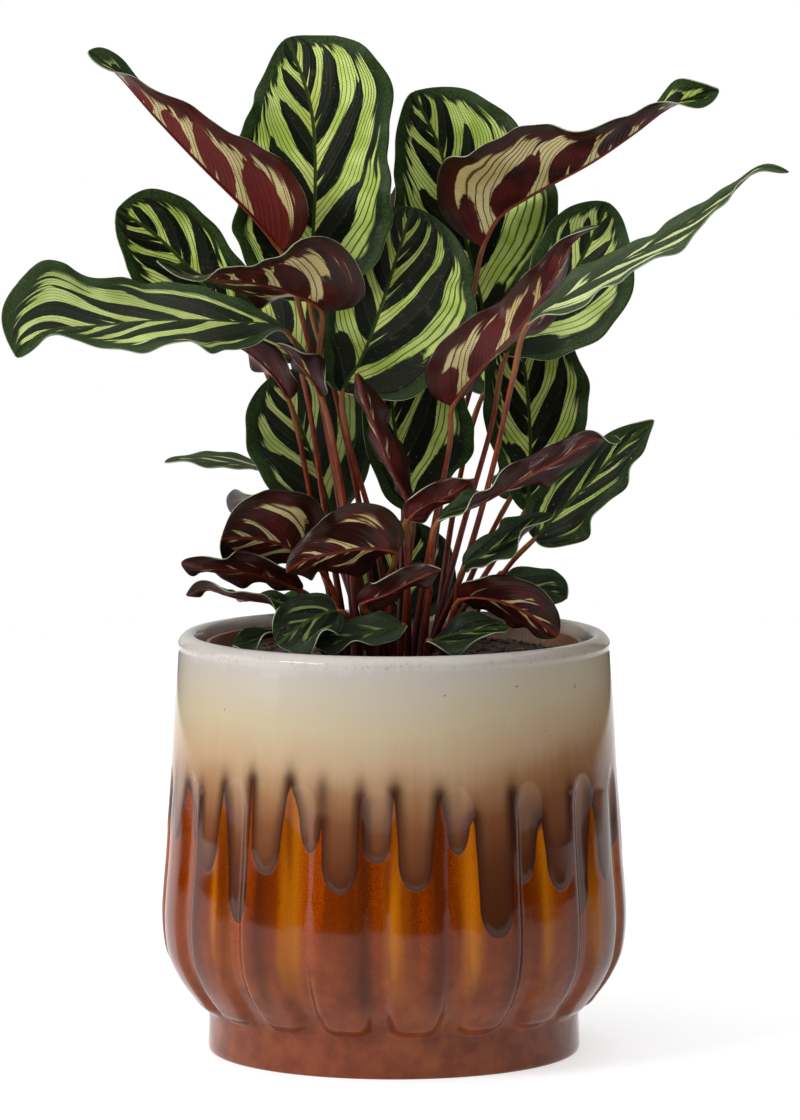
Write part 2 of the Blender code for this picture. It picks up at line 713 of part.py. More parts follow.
        facing=[(0, -0.6, 0.8), (0, -0.6, 0.8)],
        left=9, right=11,
        fold=(10, 10), curl=(10, 10),
        wave=(1.2, 1.5, 0.2), widest=0.45,
    ),
    # low leaf at the right, underside out, hanging over the rim
    Leaf(
        foot=(20, -26),
        stalk=[(24, 184, -34)],
        rib=[(28, 194, -40), (42, 194, -46), (57, 188, -50), (70, 178, -50)],
        facing=[(-0.1, 0.75, 0.6), (-0.1, 0.8, 0.5), (-0.1, 0.8, 0.5)],
        left=[14, 13, 10, 9], right=13,
        fold=(8, 8), curl=(10, 10),
        wave=(2, 1.5, 0.2), widest=0.5,
    ),
    # low leaf at the right, nearly level
    Leaf(
        foot=(26, 0),
        stalk=[(38, 196, 0), (48, 207, -4)],
        rib=[(46, 198.5, -10), (55, 199, -14), (65, 197.5, -20), (74, 194.5, -24)],
        facing=[(0.1, -0.7, 0.7), (0.1, -0.7, 0.7)],
        left=12, right=11,
        fold=(8, 8), curl=(10, 10),
        wave=(1, 1.5, 0.2), widest=0.5,
    ),
    # long leaf rising to the right
    Leaf(
        foot=(24, -10),
        stalk=[(36, 190, -16), (52, 212, -24)],
        rib=[(60, 220, -28), (72, 233, -32), (85, 246, -36), (98, 260, -40), (111, 271, -42)],
        facing=[(0.1, -0.9, 0.4), (0.1, -0.9, 0.4), (0.2, -0.8, 0.5)],
        left=[18, 17, 14, 10, 10, 8], right=[20, 19, 14, 14, 12, 8],
        fold=(15, 15), curl=(10, 10),
        wave=(1.8, 2, 0.2), widest=0.45,
    ),
    # twisted narrow leaf, green at its base and red towards its tip
    Leaf(
        foot=(12, -28),
        stalk=[(16, 205, -46)],
        rib=[
            (19, 228, -60), (36, 235, -66), (54, 245, -70), (71, 254, -74), (86, 263, -76),
            (97, 262, -78),
        ],
        facing=[(0, -0.6, 0.8), (0.1, -0.2, 0.95), (0.1, 0.85, 0.4), (0.1, 0.9, 0.3), (0, -0.4, 0.9)],
        left=[10, 12, 9, 7, 8, 7], right=[12, 13, 9, 8, 8, 7],
        fold=(15, 15), curl=(10, 10),
        wave=(1.2, 1.5, 0.2), widest=0.45,
    ),
    # small dark leaf below the twisted one
    Leaf(
        foot=(22, -18),
        stalk=[(26, 190, -30)],
        rib=[(30, 208, -40), (40, 214, -46), (52, 221, -52), (62, 228, -56), (68, 230, -58)],
        facing=[(0, -0.7, 0.7), (0, -0.6, 0.8), (0, -0.4, 0.9)],
        left=10, right=11,
        fold=(10, 10), curl=(10, 10),
        wave=(1.5, 1.5, 0.2), widest=0.4,
    ),
    # small leaf low in the middle, underside out
    Leaf(
        foot=(-2, -32),
        stalk=[(-8, 184, -46)],
        rib=[(-14, 192, -56), (-4, 196, -62), (8, 202, -66), (20, 207, -68)],
        facing=[(0, 0.8, 0.6), (0, 0.8, 0.6)],
        left=6, right=8,
        fold=(10, 10), curl=(10, 10),
        wave=(1.5, 1.5, 0.2), widest=0.4,
    ),
    # short leaf with a pale curled margin
    Leaf(
        foot=(6, -20),
        stalk=[(6, 205, -40)],
        rib=[(6, 228, -48), (14, 235, -50), (24, 239, -51), (34, 246, -53)],
        facing=[(-0.1, 0.75, 0.6), (-0.1, 0.8, 0.5), (0, 0.3, 0.9)],
        left=8, right=8,
        fold=(10, 10), curl=(10, 10),
        wave=(1.5, 1.5, 0.2), widest=0.4,
    ),
    # rolled young leaf standing in the middle
    Leaf(
        foot=(-2, -14),
        stalk=[(0, 210, -24)],
        rib=[(6, 235, -34), (-1, 250, -38), (-7, 265, -42), (-13, 280, -45), (-16, 291, -47)],
        facing=[(0.3, 0.9, 0.1), (0.3, 0.9, 0.1)],
        left=9, right=9,
        fold=(40, 40), curl=(30, 30),
        wave=(0.8, 1.5, 0.2), widest=0.45,
    ),
    # small leaf behind, at the left
    Leaf(
        foot=(-24, 6),
        stalk=[(-36, 240, 2)],
        rib=[(-45, 280, -2), (-52, 291, -4), (-62, 300, -6), (-74, 306, -8)],
        facing=[(0.3, 0.5, 0.8), (0.3, 0.5, 0.8)],
        left=10, right=11,
        fold=(20, 20), curl=(10, 10),
        wave=(1, 1.5, 0.2), widest=0.4,
    ),
    # small leaf under the arching one
    Leaf(
        foot=(-15, -16),
        stalk=[(-22, 240, -22)],
        rib=[(-31, 281, -30), (-36, 290, -32), (-43, 298, -36), (-50, 304, -40)],
        facing=[(0.4, 0.3, 0.8), (0.4, 0.3, 0.8)],
        left=9, right=9,
        fold=(20, 20), curl=(10, 10),
        wave=(1, 1.5, 0.2), widest=0.4,
    ),
    # back of the plant, upper left
    Leaf(
        foot=(-10, 22),
        stalk=[(-22, 240, 36)],
        rib=[(-36, 296, 52), (-50, 312, 66), (-66, 322, 82), (-80, 328, 98)],
        facing=[(0.1, -0.7, 0.75), (0.1, -0.6, 0.8), (0, -0.2, 0.95)],
        left=31, right=31,
        fold=(12, 12), curl=(10, 10),
        wave=(2, 2.2, 0.3), widest=0.45,
    ),
    # back of the plant, upper middle
    Leaf(
        foot=(2, 20),
        stalk=[(6, 260, 38)],
        rib=[(12, 326, 60), (16, 346, 72), (20, 364, 84), (24, 380, 98)],
        facing=[(0, 0.85, -0.4), (0, 0.8, 0.2), (0.1, 0.6, 0.7)],
        left=25, right=25,
        fold=(8, 8), curl=(10, 10),
        wave=(2, 2.2, 0.6), widest=0.45,
    ),
    # back of the plant, upper right
    Leaf(
        foot=(18, 24),
        stalk=[(26, 235, 38)],
        rib=[(38, 282, 56), (52, 300, 72), (66, 314, 90), (80, 322, 108)],
        facing=[(-0.3, -0.1, 0.9), (-0.3, 0.2, 0.9), (-0.1, 0.5, 0.8)],
        left=26, right=26,
        fold=(12, 12), curl=(10, 10),
        wave=(2, 2.2, 0.1), widest=0.45,
    ),
    # back of the plant, middle height, left
    Leaf(
        foot=(-14, 26),
        stalk=[(-20, 200, 44)],
        rib=[(-28, 216, 60), (-42, 226, 76), (-56, 231, 92), (-68, 230, 106)],
        facing=[(0.2, 0.2, 0.9), (0.1, 0.3, 0.9), (0, 0.5, 0.8)],
        left=22, right=22,
        fold=(12, 12), curl=(10, 10),
        wave=(1.8, 2.2, 0.2), widest=0.45,
    ),
    # back of the plant, middle height
    Leaf(
        foot=(4, 30),
        stalk=[(4, 215, 40)],
        rib=[(4, 240, 54), (3, 254, 68), (3, 266, 84), (4, 274, 100)],
        facing=[(0, 0.6, 0.7), (0, 0.5, 0.9), (0, 0.6, 0.7)],
        left=24, right=24,
        fold=(10, 10), curl=(10, 10),
        wave=(1.8, 2.2, 0.5), widest=0.45,
    ),
    # back of the plant, middle height, right
    Leaf(
        foot=(22, 30),
        stalk=[(38, 215, 44)],
        rib=[(50, 238, 56), (58, 250, 70), (66, 260, 84), (74, 266, 98)],
        facing=[(0, 0.5, 0.8), (0, 0.5, 0.9), (0, 0.6, 0.7)],
        left=19, right=19,
        fold=(10, 10), curl=(10, 10),
        wave=(1.6, 2.2, 0.5), widest=0.45,
    ),
    # back of the plant, low, left
    Leaf(
        foot=(-20, 30),
        stalk=[(-28, 180, 42)],
        rib=[(-34, 188, 50), (-46, 192, 60), (-57, 194, 70), (-66, 193, 80)],
        facing=[(0, 0.05, 1), (0, 0.1, 1)],
        left=12, right=12,
        fold=(8, 8), curl=(8, 8),
        wave=(1.2, 1.5, 0.5), widest=0.45,
    ),
    # back of the plant, low, right
    Leaf(
        foot=(14, 38),
        stalk=[(22, 182, 52)],
        rib=[(28, 188, 60), (40, 191, 70), (50, 192, 82), (58, 191, 94)],
        facing=[(0, 0.05, 1), (0, 0.1, 1)],
        left=13, right=13,
        fold=(8, 8), curl=(8, 8),
        wave=(1.2, 1.5, 0.5), widest=0.45,
    ),
    # back of the plant, low in the middle, behind the stalks
    Leaf(
        foot=(0, 42),
        stalk=[(0, 177, 46)],
        rib=[(2, 184, 48), (3, 197, 50), (5, 212, 53), (7, 228, 58)],
        facing=[(0, -1, 0.15), (0, -1, 0.2), (0, -0.9, 0.4)],
        left=24, right=24,
        fold=(8, 8), curl=(10, 10),
        wave=(1.4, 1.7, 0.4), widest=0.45,
    ),
]


def build():
    clear_scene()
    glaze = make_material("pot_glaze", (0.42, 0.29, 0.18), 0.22)
    plastic = make_material("nursery_plastic", (0.25, 0.10, 0.05), 0.45)
    earth = make_material("potting_soil", (0.035, 0.022, 0.014), 0.95)
    blade = make_material("leaf_blade", (0.05, 0.11, 0.03), 0.38)
    make_pot(glaze)
    make_nursery_pot(plastic)
    make_soil(earth, [(*leaf.foot, stalk_radius(0)) for leaf in LEAVES])
    for number, leaf in enumerate(LEAVES, start=1):
        make_leaf(f"leaf_{number:02d}", leaf, blade)


build()
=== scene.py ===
# The looks of the potted peacock plant: fine leaves, running glaze, soil, floor, lights and camera.
# Lengths are in millimetres, and in metres for the floor, the lights and the camera. Angles round the pot
# start at its front.
import math
from types import SimpleNamespace

import bpy
import numpy as np
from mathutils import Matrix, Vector, noise


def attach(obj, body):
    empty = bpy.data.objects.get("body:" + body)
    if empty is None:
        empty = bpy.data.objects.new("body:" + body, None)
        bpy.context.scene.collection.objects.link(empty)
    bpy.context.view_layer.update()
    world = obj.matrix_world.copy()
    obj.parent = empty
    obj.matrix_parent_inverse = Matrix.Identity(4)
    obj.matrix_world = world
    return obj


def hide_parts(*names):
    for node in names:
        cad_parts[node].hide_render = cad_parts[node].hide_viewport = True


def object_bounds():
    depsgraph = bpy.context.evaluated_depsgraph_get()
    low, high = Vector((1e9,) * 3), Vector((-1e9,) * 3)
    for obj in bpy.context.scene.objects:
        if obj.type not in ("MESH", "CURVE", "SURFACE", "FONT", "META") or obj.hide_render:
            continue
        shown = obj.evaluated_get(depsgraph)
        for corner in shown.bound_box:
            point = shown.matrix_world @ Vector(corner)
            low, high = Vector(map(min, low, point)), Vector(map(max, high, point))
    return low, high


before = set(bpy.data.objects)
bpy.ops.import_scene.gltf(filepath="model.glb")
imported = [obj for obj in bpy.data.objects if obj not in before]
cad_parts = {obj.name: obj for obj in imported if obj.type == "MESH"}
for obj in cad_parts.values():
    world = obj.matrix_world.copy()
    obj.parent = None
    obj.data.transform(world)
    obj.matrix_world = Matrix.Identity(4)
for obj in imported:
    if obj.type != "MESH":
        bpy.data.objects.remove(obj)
CAD_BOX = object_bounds()

MM = 0.001
SEED = 7

# the solid part's box in millimetres, which no point of a leaf leaves
KEEP_LOW, KEEP_HIGH = (np.array(corner) * 1000 for corner in CAD_BOX)

# the pot's outer wall between the flutes, and at the bottom of a flute: (height, radius)
LAND_WALL = [
    (0.0, 79.0), (1.0, 79.8), (8.0, 79.8), (17.4, 79.8), (18.2, 80.8), (19.4, 83.2), (21.4, 85.6),
    (25.0, 88.2), (29.0, 91.2), (33.5, 94.1), (42.0, 98.0), (50.0, 99.5), (60.0, 100.0), (72.0, 99.3),
    (85.0, 98.2), (108.0, 96.8), (117.0, 96.3), (124.0, 95.9), (150.0, 94.5), (174.0, 92.7),
]
BED_WALL = [
    (0.0, 79.0), (1.0, 79.8), (8.0, 79.8), (17.4, 79.8), (19.4, 80.3), (21.4, 81.5), (25.0, 84.1),
    (29.0, 87.6), (33.5, 90.9), (42.0, 95.1), (50.0, 96.8), (60.0, 97.4), (72.0, 96.8), (85.0, 95.8),
    (108.0, 94.4), (117.0, 94.6), (124.0, 95.4), (150.0, 94.5), (174.0, 92.7),
]
RIM = [
    (176.5, 92.3), (178.5, 91.0), (179.7, 89.5), (180.0, 88.0), (179.7, 86.5), (178.6, 85.2), (176.5, 84.2),
]
BORE = [
    (172.0, 83.8), (160.0, 84.8), (150.0, 85.4), (108.0, 87.8), (60.0, 90.4), (46.0, 88.2), (34.0, 82.6),
    (24.0, 75.0), (16.0, 68.0), (12.0, 64.5),
]
POT_HEIGHT = 180.0
# one degree round the wall where the drips are, in millimetres
WALL_DEGREE = math.radians(1) * 97.0
FLUTES = 18
FLUTE_START = math.radians(-4.0)
FLUTE_PITCH = 2 * math.pi / FLUTES
FLUTE_HALF = math.radians(4.7)
FLUTE_STEPS = 24

# the drips of the glaze seen from the front: (angle from the front, height of the end, half width), in
# degrees and millimetres, and the height at which the next gap closes above it
DRIPS = [
    (-72.0, 95.0, 3.4, 119.0), (-61.5, 94.0, 3.0, 117.0), (-53.5, 85.4, 3.6, 122.0),
    (-42.6, 65.6, 3.6, 126.0), (-33.5, 88.0, 4.2, 127.0), (-21.5, 97.8, 3.2, 124.0),
    (-13.4, 81.3, 4.6, 122.5), (-4.3, 93.8, 3.6, 123.5), (5.3, 82.5, 4.2, 121.5), (16.4, 97.0, 2.9, 112.0),
    (26.0, 61.8, 4.6, 121.0), (35.0, 83.8, 3.4, 110.0), (45.5, 78.9, 4.4, 118.0), (55.0, 66.2, 3.2, 116.0),
    (66.0, 78.8, 3.8, 118.0), (77.0, 90.0, 3.6, 121.0),
]
DRIP_BOWL = 13.0
DRIP_THICKNESS = 0.17
# the distance to the pale glaze's edge is measured to points this far apart
DRIP_EDGE_STEP = 0.35
# and only this far to the sides, since no colour reaches farther from the edge
DRIP_EDGE_REACH = 14.0

# the middles of the golden streaks in degrees, and those round the back, which nothing shows
GOLD_STREAKS = [-49.0, -26.5, 0.5, 19.5, 40.0, 60.0] + [56 + 20 * step for step in range(1, 12)]

# the nursery pot's outline, (height, radius), up its outside and down its inside, and the soil in it
CUP = [
    (12.3, 62.0), (13.0, 62.6), (164.8, 78.4), (165.3, 80.6), (166.2, 81.0), (174.8, 81.0), (175.8, 80.6),
    (176.0, 79.9), (175.8, 79.0), (174.6, 78.3), (165.0, 76.9), (14.6, 60.8), (13.8, 60.0),
]
CUP_SIDES = 144
SOIL_LEVEL = 170.0
SOIL_RIM = 76.8
SOIL_FLOOR = 14.1
SOIL_FLOOR_RADIUS = 60.0
SOIL_SIDES = 240
CRUMBS = 620

# the stalks, which run on under the blade as its rib; FIT is the share of its radius that each is drawn with
STALK_DEPTH = 16.0
STALK_RADIUS = 1.3
STALK_ROUND = 10
STALK_FIT = 0.94
STALK_END_SHARES = np.linspace(0.04, 0.92, 23)
STALK_END_RADII = STALK_RADIUS * np.interp(STALK_END_SHARES, [0.0, 0.16, 0.92], [0.75, 0.42, 0.18])

# where the photograph was taken from
EYE = np.array([2.5, -3000.0, 529.0])

# the leaves: CELL is the size of a blade's mesh cells, and NOTCH the share of the half width by which
# the margin runs in and out
CURVE_STEPS = 12
TIP_SHARE = 0.035
BLADE_THICKNESS = 0.5
CELL = 1.12
RIB_HALF = 0.85
VEIN_GAP = 3.3
NOTCH = 0.022
PLEAT = 0.22
# the low leaves' margins are the most frilled
LOW_LEAVES = range(16, 34)
# a leaf's materials, in the order in which build gives them
UPPER, UNDER, STALK, MARGIN = range(4)


def unit(vectors):
    return vectors / np.linalg.norm(vectors, axis=-1, keepdims=True)


def sighted(point):
    """A point (x, z, depth) read on the middle plane, carried along the line of sight to its own depth."""
    x, z, depth = point
    on_plane = np.array([x, 0.0, z])
    return EYE + (on_plane - EYE) * (depth - EYE[1]) / -EYE[1]


def between(t, start, end, first, last):
    """A straight blend of two points, from the first at t = start to the last at t = end."""
    return ((end - t) * first + (t - start) * last) / (end - start)


def smooth_curve(points):
    """A smooth curve through the points, CURVE_STEPS samples to a span, with no loops in short spans."""
    points = np.asarray(points, float)
    ends = np.vstack([2 * points[0] - points[1], points, 2 * points[-1] - points[-2]])
    chords = np.linalg.norm(np.diff(ends, axis=0), axis=1)
    knots = np.concatenate([[0.0], np.cumsum(chords ** 0.5)])
    spans = []
    for span in range(1, len(ends) - 2):
        t = np.linspace(knots[span], knots[span + 1], CURVE_STEPS, endpoint=False)[:, None]
        k = knots[span - 1 : span + 3]
        p = ends[span - 1 : span + 3]
        first = [between(t, k[j], k[j + 1], p[j], p[j + 1]) for j in range(3)]
        second = [between(t, k[j], k[j + 2], first[j], first[j + 1]) for j in range(2)]
        spans.append(between(t, k[1], k[2], *second))
    spans.append(points[-1:])
    return np.vstack(spans)


def length_of(samples):
    return float(np.linalg.norm(np.diff(samples, axis=0), axis=1).sum())


def along(samples, shares):
    """Points at these shares of the length of a sampled curve."""
    steps = np.concatenate([[0.0], np.cumsum(np.linalg.norm(np.diff(samples, axis=0), axis=1))])
    places = np.asarray(shares) * steps[-1]
    return np.stack([np.interp(places, steps, samples[:, axis]) for axis in range(samples.shape[1])], axis=-1)


def headings(samples, shares, reach):
    """Directions of a sampled curve at these shares of its length."""
    shares = np.asarray(shares)
    ahead = along(samples, np.clip(shares + reach, 0, 1))
    behind = along(samples, np.clip(shares - reach, 0, 1))
    return unit(ahead - behind)


def spread(values, t):
    """Values given at even shares of the blade, from its base to its tip, read smoothly at t."""
    values = np.asarray(values, float)
    if values.ndim == 0:
        return np.full(len(t), float(values))
    ends = np.concatenate([2 * values[:1] - values[1:2], values, 2 * values[-1:] - values[-2:-1]])
    place = np.asarray(t) * (len(values) - 1)
    span = np.clip(place.astype(int), 0, len(values) - 2)
    u = place - span
    if values.ndim == 2:
        u = u[:, None]
    a, b, c, d = (ends[span + step] for step in range(4))
    return b + 0.5 * u * (c - a + u * (2 * a - 5 * b + 4 * c - d + u * (3 * (b - c) + d - a)))


def width_share(t, widest):
    """The share of its half width that a leaf has at t: rounded at the base, pointed at the tip."""
    near = np.clip(widest - t, 0, None) / widest
    far = np.clip(t - widest, 0, None) / (1 - widest)
    return np.maximum(np.sqrt(1 - near ** 2) * np.clip(1 - far ** 2.1, 0, 1) ** 0.6, TIP_SHARE)


class Leaf:
    """One leaf, in millimetres and degrees. Its stalk rises from the foot through the stalk points into
    the rib. Facing points out of the upper side. Left and right are the half widths beside the rib, seen
    from the base with the upper side up, and each half lifts by its fold and then curls further. The wave
    of the margin is its height, its turns and its start."""

    def __init__(self, foot, stalk, rib, facing, left, right,
                 wave=(1.5, 1.5, 0.2), fold=(10, 10), curl=(10, 10), widest=0.45):
        self.under = np.array([*foot, SOIL_LEVEL - STALK_DEPTH])
        ground = np.array([*foot, SOIL_LEVEL])
        samples = smooth_curve([self.under, ground] + [sighted(point) for point in stalk + rib])
        split = (2 + len(stalk)) * CURVE_STEPS
        self.stalk = samples[CURVE_STEPS : split + 1]
        self.rib = samples[split:]
        self.facing = facing
        self.sides = ((-1, left, fold[0], curl[0], 0.37), (1, right, fold[1], curl[1], 0.0))
        self.wave = wave
        self.widest = widest


def stalk_radius(t):
    """A stalk is stoutest where it leaves the soil."""
    return STALK_RADIUS * (0.85 + 0.5 * (1 - t) ** 1.5)


def upper_side(leaf, t, ahead):
    """Directions out of the upper side at the rib, square to the way ahead."""
    facing = spread(leaf.facing, t)
    return unit(facing - (facing * ahead).sum(-1, keepdims=True) * ahead)


def vein_origin(leaf, widths, t, q, length, slant):
    """The share of the rib at which the side vein through (t, q) starts. Veins leave the rib at a slant
    and bend until they run beside the margin."""
    fine = np.linspace(0, 1, 401)
    half = np.maximum(spread(widths, fine) * width_share(fine, leaf.widest), 3.0)
    lean = slant * (0.85 - 0.35 * fine)
    rise = np.concatenate([[0.0], np.cumsum((lean * length / half)[:-1]) / 400])
    level = np.interp(t, fine, rise)[:, None] - np.arctanh(np.minimum(q, 0.985))[None, :]
    first = rise[60] / fine[60]  # the mean over the lowest veins
    return np.where(level > 0, np.interp(level, rise, fine), 1.9 * level / first)


def margin_distance(x, y, edge_x, edge_y):
    """Distances of the points (x, y) of the flattened blade to its margin."""
    return np.hypot(x[..., None] - edge_x, y[..., None] - edge_y).min(axis=-1)


def stacked(*columns):
    """Arrays and numbers joined into one array of points."""
    return np.stack(np.broadcast_arrays(*columns), axis=-1)


def blade_fields(leaf, number):
    """The blade's middle surface as a grid, and the fields that its pattern is drawn with."""
    length = length_of(leaf.rib)
    i = np.linspace(0, 1, int(np.clip(length / CELL, 24, 120)) + 1)
    t = 0.45 * i + 0.55 * (1 - np.cos(np.pi * i)) / 2  # rows lie closer near the base and the tip
    rib = along(leaf.rib, t)[:, None]
    ahead = headings(leaf.rib, t, 0.01)
    normal = upper_side(leaf, t, ahead)
    across = np.cross(ahead, normal)[:, None]
    normal = normal[:, None]
    share = width_share(t, leaf.widest)
    height, turns, phase = leaf.wave
    frill = 2.6 if number in LOW_LEAVES else 1.1
    ovals = 2.4 + length / 46.0
    # the dullness darkens some leaves as painted shade, and the pallor lightens some as painted light
    dullness_and_shade, pallor_and_light, start, slant = MOODS.get(number, (0, 0, 0, 1))

    def wave(span, start):
        """A wave along the blade that repeats after this many millimetres."""
        return np.sin(2 * np.pi * (length / span * t + start))

    halves = []
    for side, (sign, widths, fold, curl, shift) in enumerate(leaf.sides):
        notches = wave(34.0, 0.37 * number + 0.5 * side) + 0.6 * wave(17.0, 0.53 * number - 0.3 * side)
        half = spread(widths, t) * share * (1 + NOTCH * notches)
        steps = int(np.clip(half.max() / CELL, 8, 44))
        q = np.concatenate([[0.0], np.linspace(RIB_HALF / max(half.max(), 8.0), 1.0, steps)])

        def lean(q):
            """How far the blade is turned up at these shares of its half width."""
            folded = np.radians(spread(fold, t))[:, None]
            curled = np.radians(spread(curl, t))[:, None] * q ** 1.5
            return (folded + curled)[..., None]

        # the surface: strides out from the rib, then the margin's wave, its ripples and the pleats
        out = sign * across
        middle = lean((q[1:] + q[:-1]) / 2)
        strides = half[:, None, None] * np.diff(q)[:, None] * (np.cos(middle) * out + np.sin(middle) * normal)
        place = np.concatenate([rib, rib + np.cumsum(strides, axis=1)], axis=1)
        up = np.cos(lean(q)) * normal - np.sin(lean(q)) * out
        origin = vein_origin(leaf, widths, t, q, length, slant)
        oval = -ovals * np.log(1 - 0.5 * origin) / math.log(1 / 0.5)
        oval += 0.5 * side + 0.13 * math.sin(5.0 * number + side) + start
        pleat = -PLEAT * np.cos(2 * np.pi * oval) * np.sin(np.pi * np.clip(q, 0, 1)) * share[:, None]
        lift = height * share ** 0.7 * np.sin(2 * np.pi * (turns * t + phase + shift))
        ripple = share * (wave(25.0, 0.31 * number + shift) + 0.4 * wave(14.0, 0.17 * number - shift))
        rise = lift[:, None] * q ** 1.8 + frill * ripple[:, None] * q ** 3.5 + pleat

        # the pattern: its places are moved on by leaf and side, so that no two draw the same chances
        x = t[:, None] * length
        y = half[:, None] * q
        from_base = np.clip(origin, 0, 1)
        seed = 40.0 * number + 20.0 * side + 10.0
        fields = {
            "vein_place": stacked(oval + seed, origin * length + 400.0, q),
            "blade_place": stacked(margin_distance(x, y, t * length, half), 0.8 * x + 0.6 * y, t[:, None]),
            "oval_place": stacked(0.80 - 0.36 * from_base, 0.385 - 0.04 * from_base + 0.06 * dullness_and_shade, y),
            "leaf_mood": stacked(dullness_and_shade, pallor_and_light, origin),
        }
        halves.append({"grid": place + up * rise[..., None], **fields})
    left, right = halves
    joined = {name: np.concatenate([left[name][:, ::-1], right[name][:, 1:]], axis=1) for name in left}
    return joined.pop("grid"), joined


def grid_faces(rows, columns):
    """Quads of a grid of points, row by row."""
    row, column = np.mgrid[0 : rows - 1, 0 : columns - 1]
    a = (row * columns + column).ravel()
    return np.stack([a, a + 1, a + 1 + columns, a + columns], axis=1)


def ring_faces(rings, sides):
    """Quads between rings of points, with a face over each end."""
    faces = []
    for row in range(rings - 1):
        for step in range(sides):
            a = row * sides + step
            b = row * sides + (step + 1) % sides
            faces.append((a, b, b + sides, a + sides))
    last = (rings - 1) * sides
    return faces + [tuple(range(sides - 1, -1, -1)), tuple(range(last, last + sides))]


def circle(sides):
    return 2 * math.pi * np.arange(sides) / sides


def turned(radius, angle, height):
    """Points at this radius and height, at this angle from the front."""
    return stacked(radius * np.sin(angle), -radius * np.cos(angle), height)


def add_object(name, data):
    made = bpy.data.objects.new(name, data)
    bpy.context.scene.collection.objects.link(made)
    return made


def make_piece(node, points, faces, materials, indices=None, fields=None, sharp=None):
    """A smooth mesh from points in millimetres, which stands in for a node of the solid part."""
    mesh = bpy.data.meshes.new(node + "_fine")
    mesh.from_pydata((points * MM).tolist(), [], faces)
    for material in materials:
        mesh.materials.append(material)
    if indices is not None:
        mesh.polygons.foreach_set("material_index", np.asarray(indices, np.int32))
    for label, values in (fields or {}).items():
        held = mesh.attributes.new(label, "FLOAT_VECTOR", "POINT")
        held.data.foreach_set("vector", np.asarray(values, np.float32).ravel())
    mesh.shade_smooth()
    mesh.update()
    if sharp is not None:
        mesh.set_sharp_from_angle(angle=math.radians(sharp))
    piece = add_object(node + "_fine", mesh)
    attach(piece, "root")
    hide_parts(node)


def tube(centres, ways, radii, sides):
    """Points and faces of a closed tube."""
    turn = circle(sides)[:, None]
    side = np.array([1.0, 0.0, 0.0])
    rings = []
    for centre, way, radius in zip(centres, ways, radii):
        side = unit(side - side @ way * way)
        rings.append(centre + radius * (np.cos(turn) * side + np.sin(turn) * np.cross(way, side)))
    return np.vstack(rings), ring_faces(len(rings), sides)


def make_leaf(number, leaf, materials):
    """A leaf with a thin blade, a raised rib below and a round stalk."""
    grid, fields = blade_fields(leaf, number)
    rows, columns = grid.shape[:2]
    count = rows * columns
    up = unit(np.cross(np.gradient(grid, axis=1), np.gradient(grid, axis=0)))
    upper = grid_faces(rows, columns)
    index = np.arange(count).reshape(rows, columns)
    margin = np.concatenate([index[0], index[1:, -1], index[-1, -2::-1], index[-2:0:-1, 0]])
    following = np.roll(margin, -1)
    sides = np.stack([margin, margin + count, following + count, following], axis=1)

    # the stalk: from under the soil to the blade, then on below the rib
    t = np.linspace(0, 1, int(np.clip(length_of(leaf.stalk) / 4, 6, 60)))
    rib_ahead = headings(leaf.rib, STALK_END_SHARES, 0.01)
    sink = (STALK_END_RADII - 0.05)[:, None] * upper_side(leaf, STALK_END_SHARES, rib_ahead)
    centres = np.vstack([leaf.under, along(leaf.stalk, t), along(leaf.rib, STALK_END_SHARES) - sink])
    upright = [0.0, 0.0, 1.0]
    ways = np.vstack([upright, upright, headings(leaf.stalk, t[1:], 0.02), rib_ahead])
    swelling = 1 + 0.22 * np.exp(-((t - 0.9) / 0.07) ** 2)
    radii = np.concatenate([[stalk_radius(0)], stalk_radius(t) * swelling, STALK_END_RADII]) * STALK_FIT
    stalk, stalk_faces = tube(centres, ways, radii, STALK_ROUND)
    stalk_place = np.zeros((len(stalk), 3))
    stalk_place[:, 2] = np.repeat(np.concatenate([[0.0], t, 1 + STALK_END_SHARES]), STALK_ROUND)

    half = up * BLADE_THICKNESS / 2
    points = np.vstack([(grid + half).reshape(-1, 3), (grid - half).reshape(-1, 3), stalk])
    faces = [*upper.tolist(), *(upper[:, ::-1] + count).tolist(), *sides.tolist()]
    faces += [[corner + 2 * count for corner in face] for face in stalk_faces]
    indices = np.repeat([UPPER, UNDER, MARGIN, STALK], [len(upper), len(upper), len(sides), len(stalk_faces)])
    values = {}
    for label, field in fields.items():
        flat = field.reshape(-1, 3)
        tail = stalk_place if label == "blade_place" else np.zeros_like(stalk_place)
        values[label] = np.vstack([flat, flat, tail])
    points = np.clip(points, KEEP_LOW, KEEP_HIGH)
    make_piece(f"leaf_{number:02d}", points, faces, materials, indices, values)


def all_drips():
    """The drips round the pot. Those at the back, which nothing shows, follow on in the same manner."""
    picks = np.random.default_rng(SEED)
    drips = list(DRIPS)
    angle = DRIPS[-1][0] + 10.5
    while angle < 360 + DRIPS[0][0] - 7.0:
        drips.append((angle, picks.uniform(64, 98), picks.uniform(3.0, 4.5), picks.uniform(112, 126)))
        angle += picks.uniform(9.0, 11.5)
    return drips


def nearest_turn(degrees):
    """An angle as a turn of at most half a circle either way."""
    return (degrees + 180) % 360 - 180


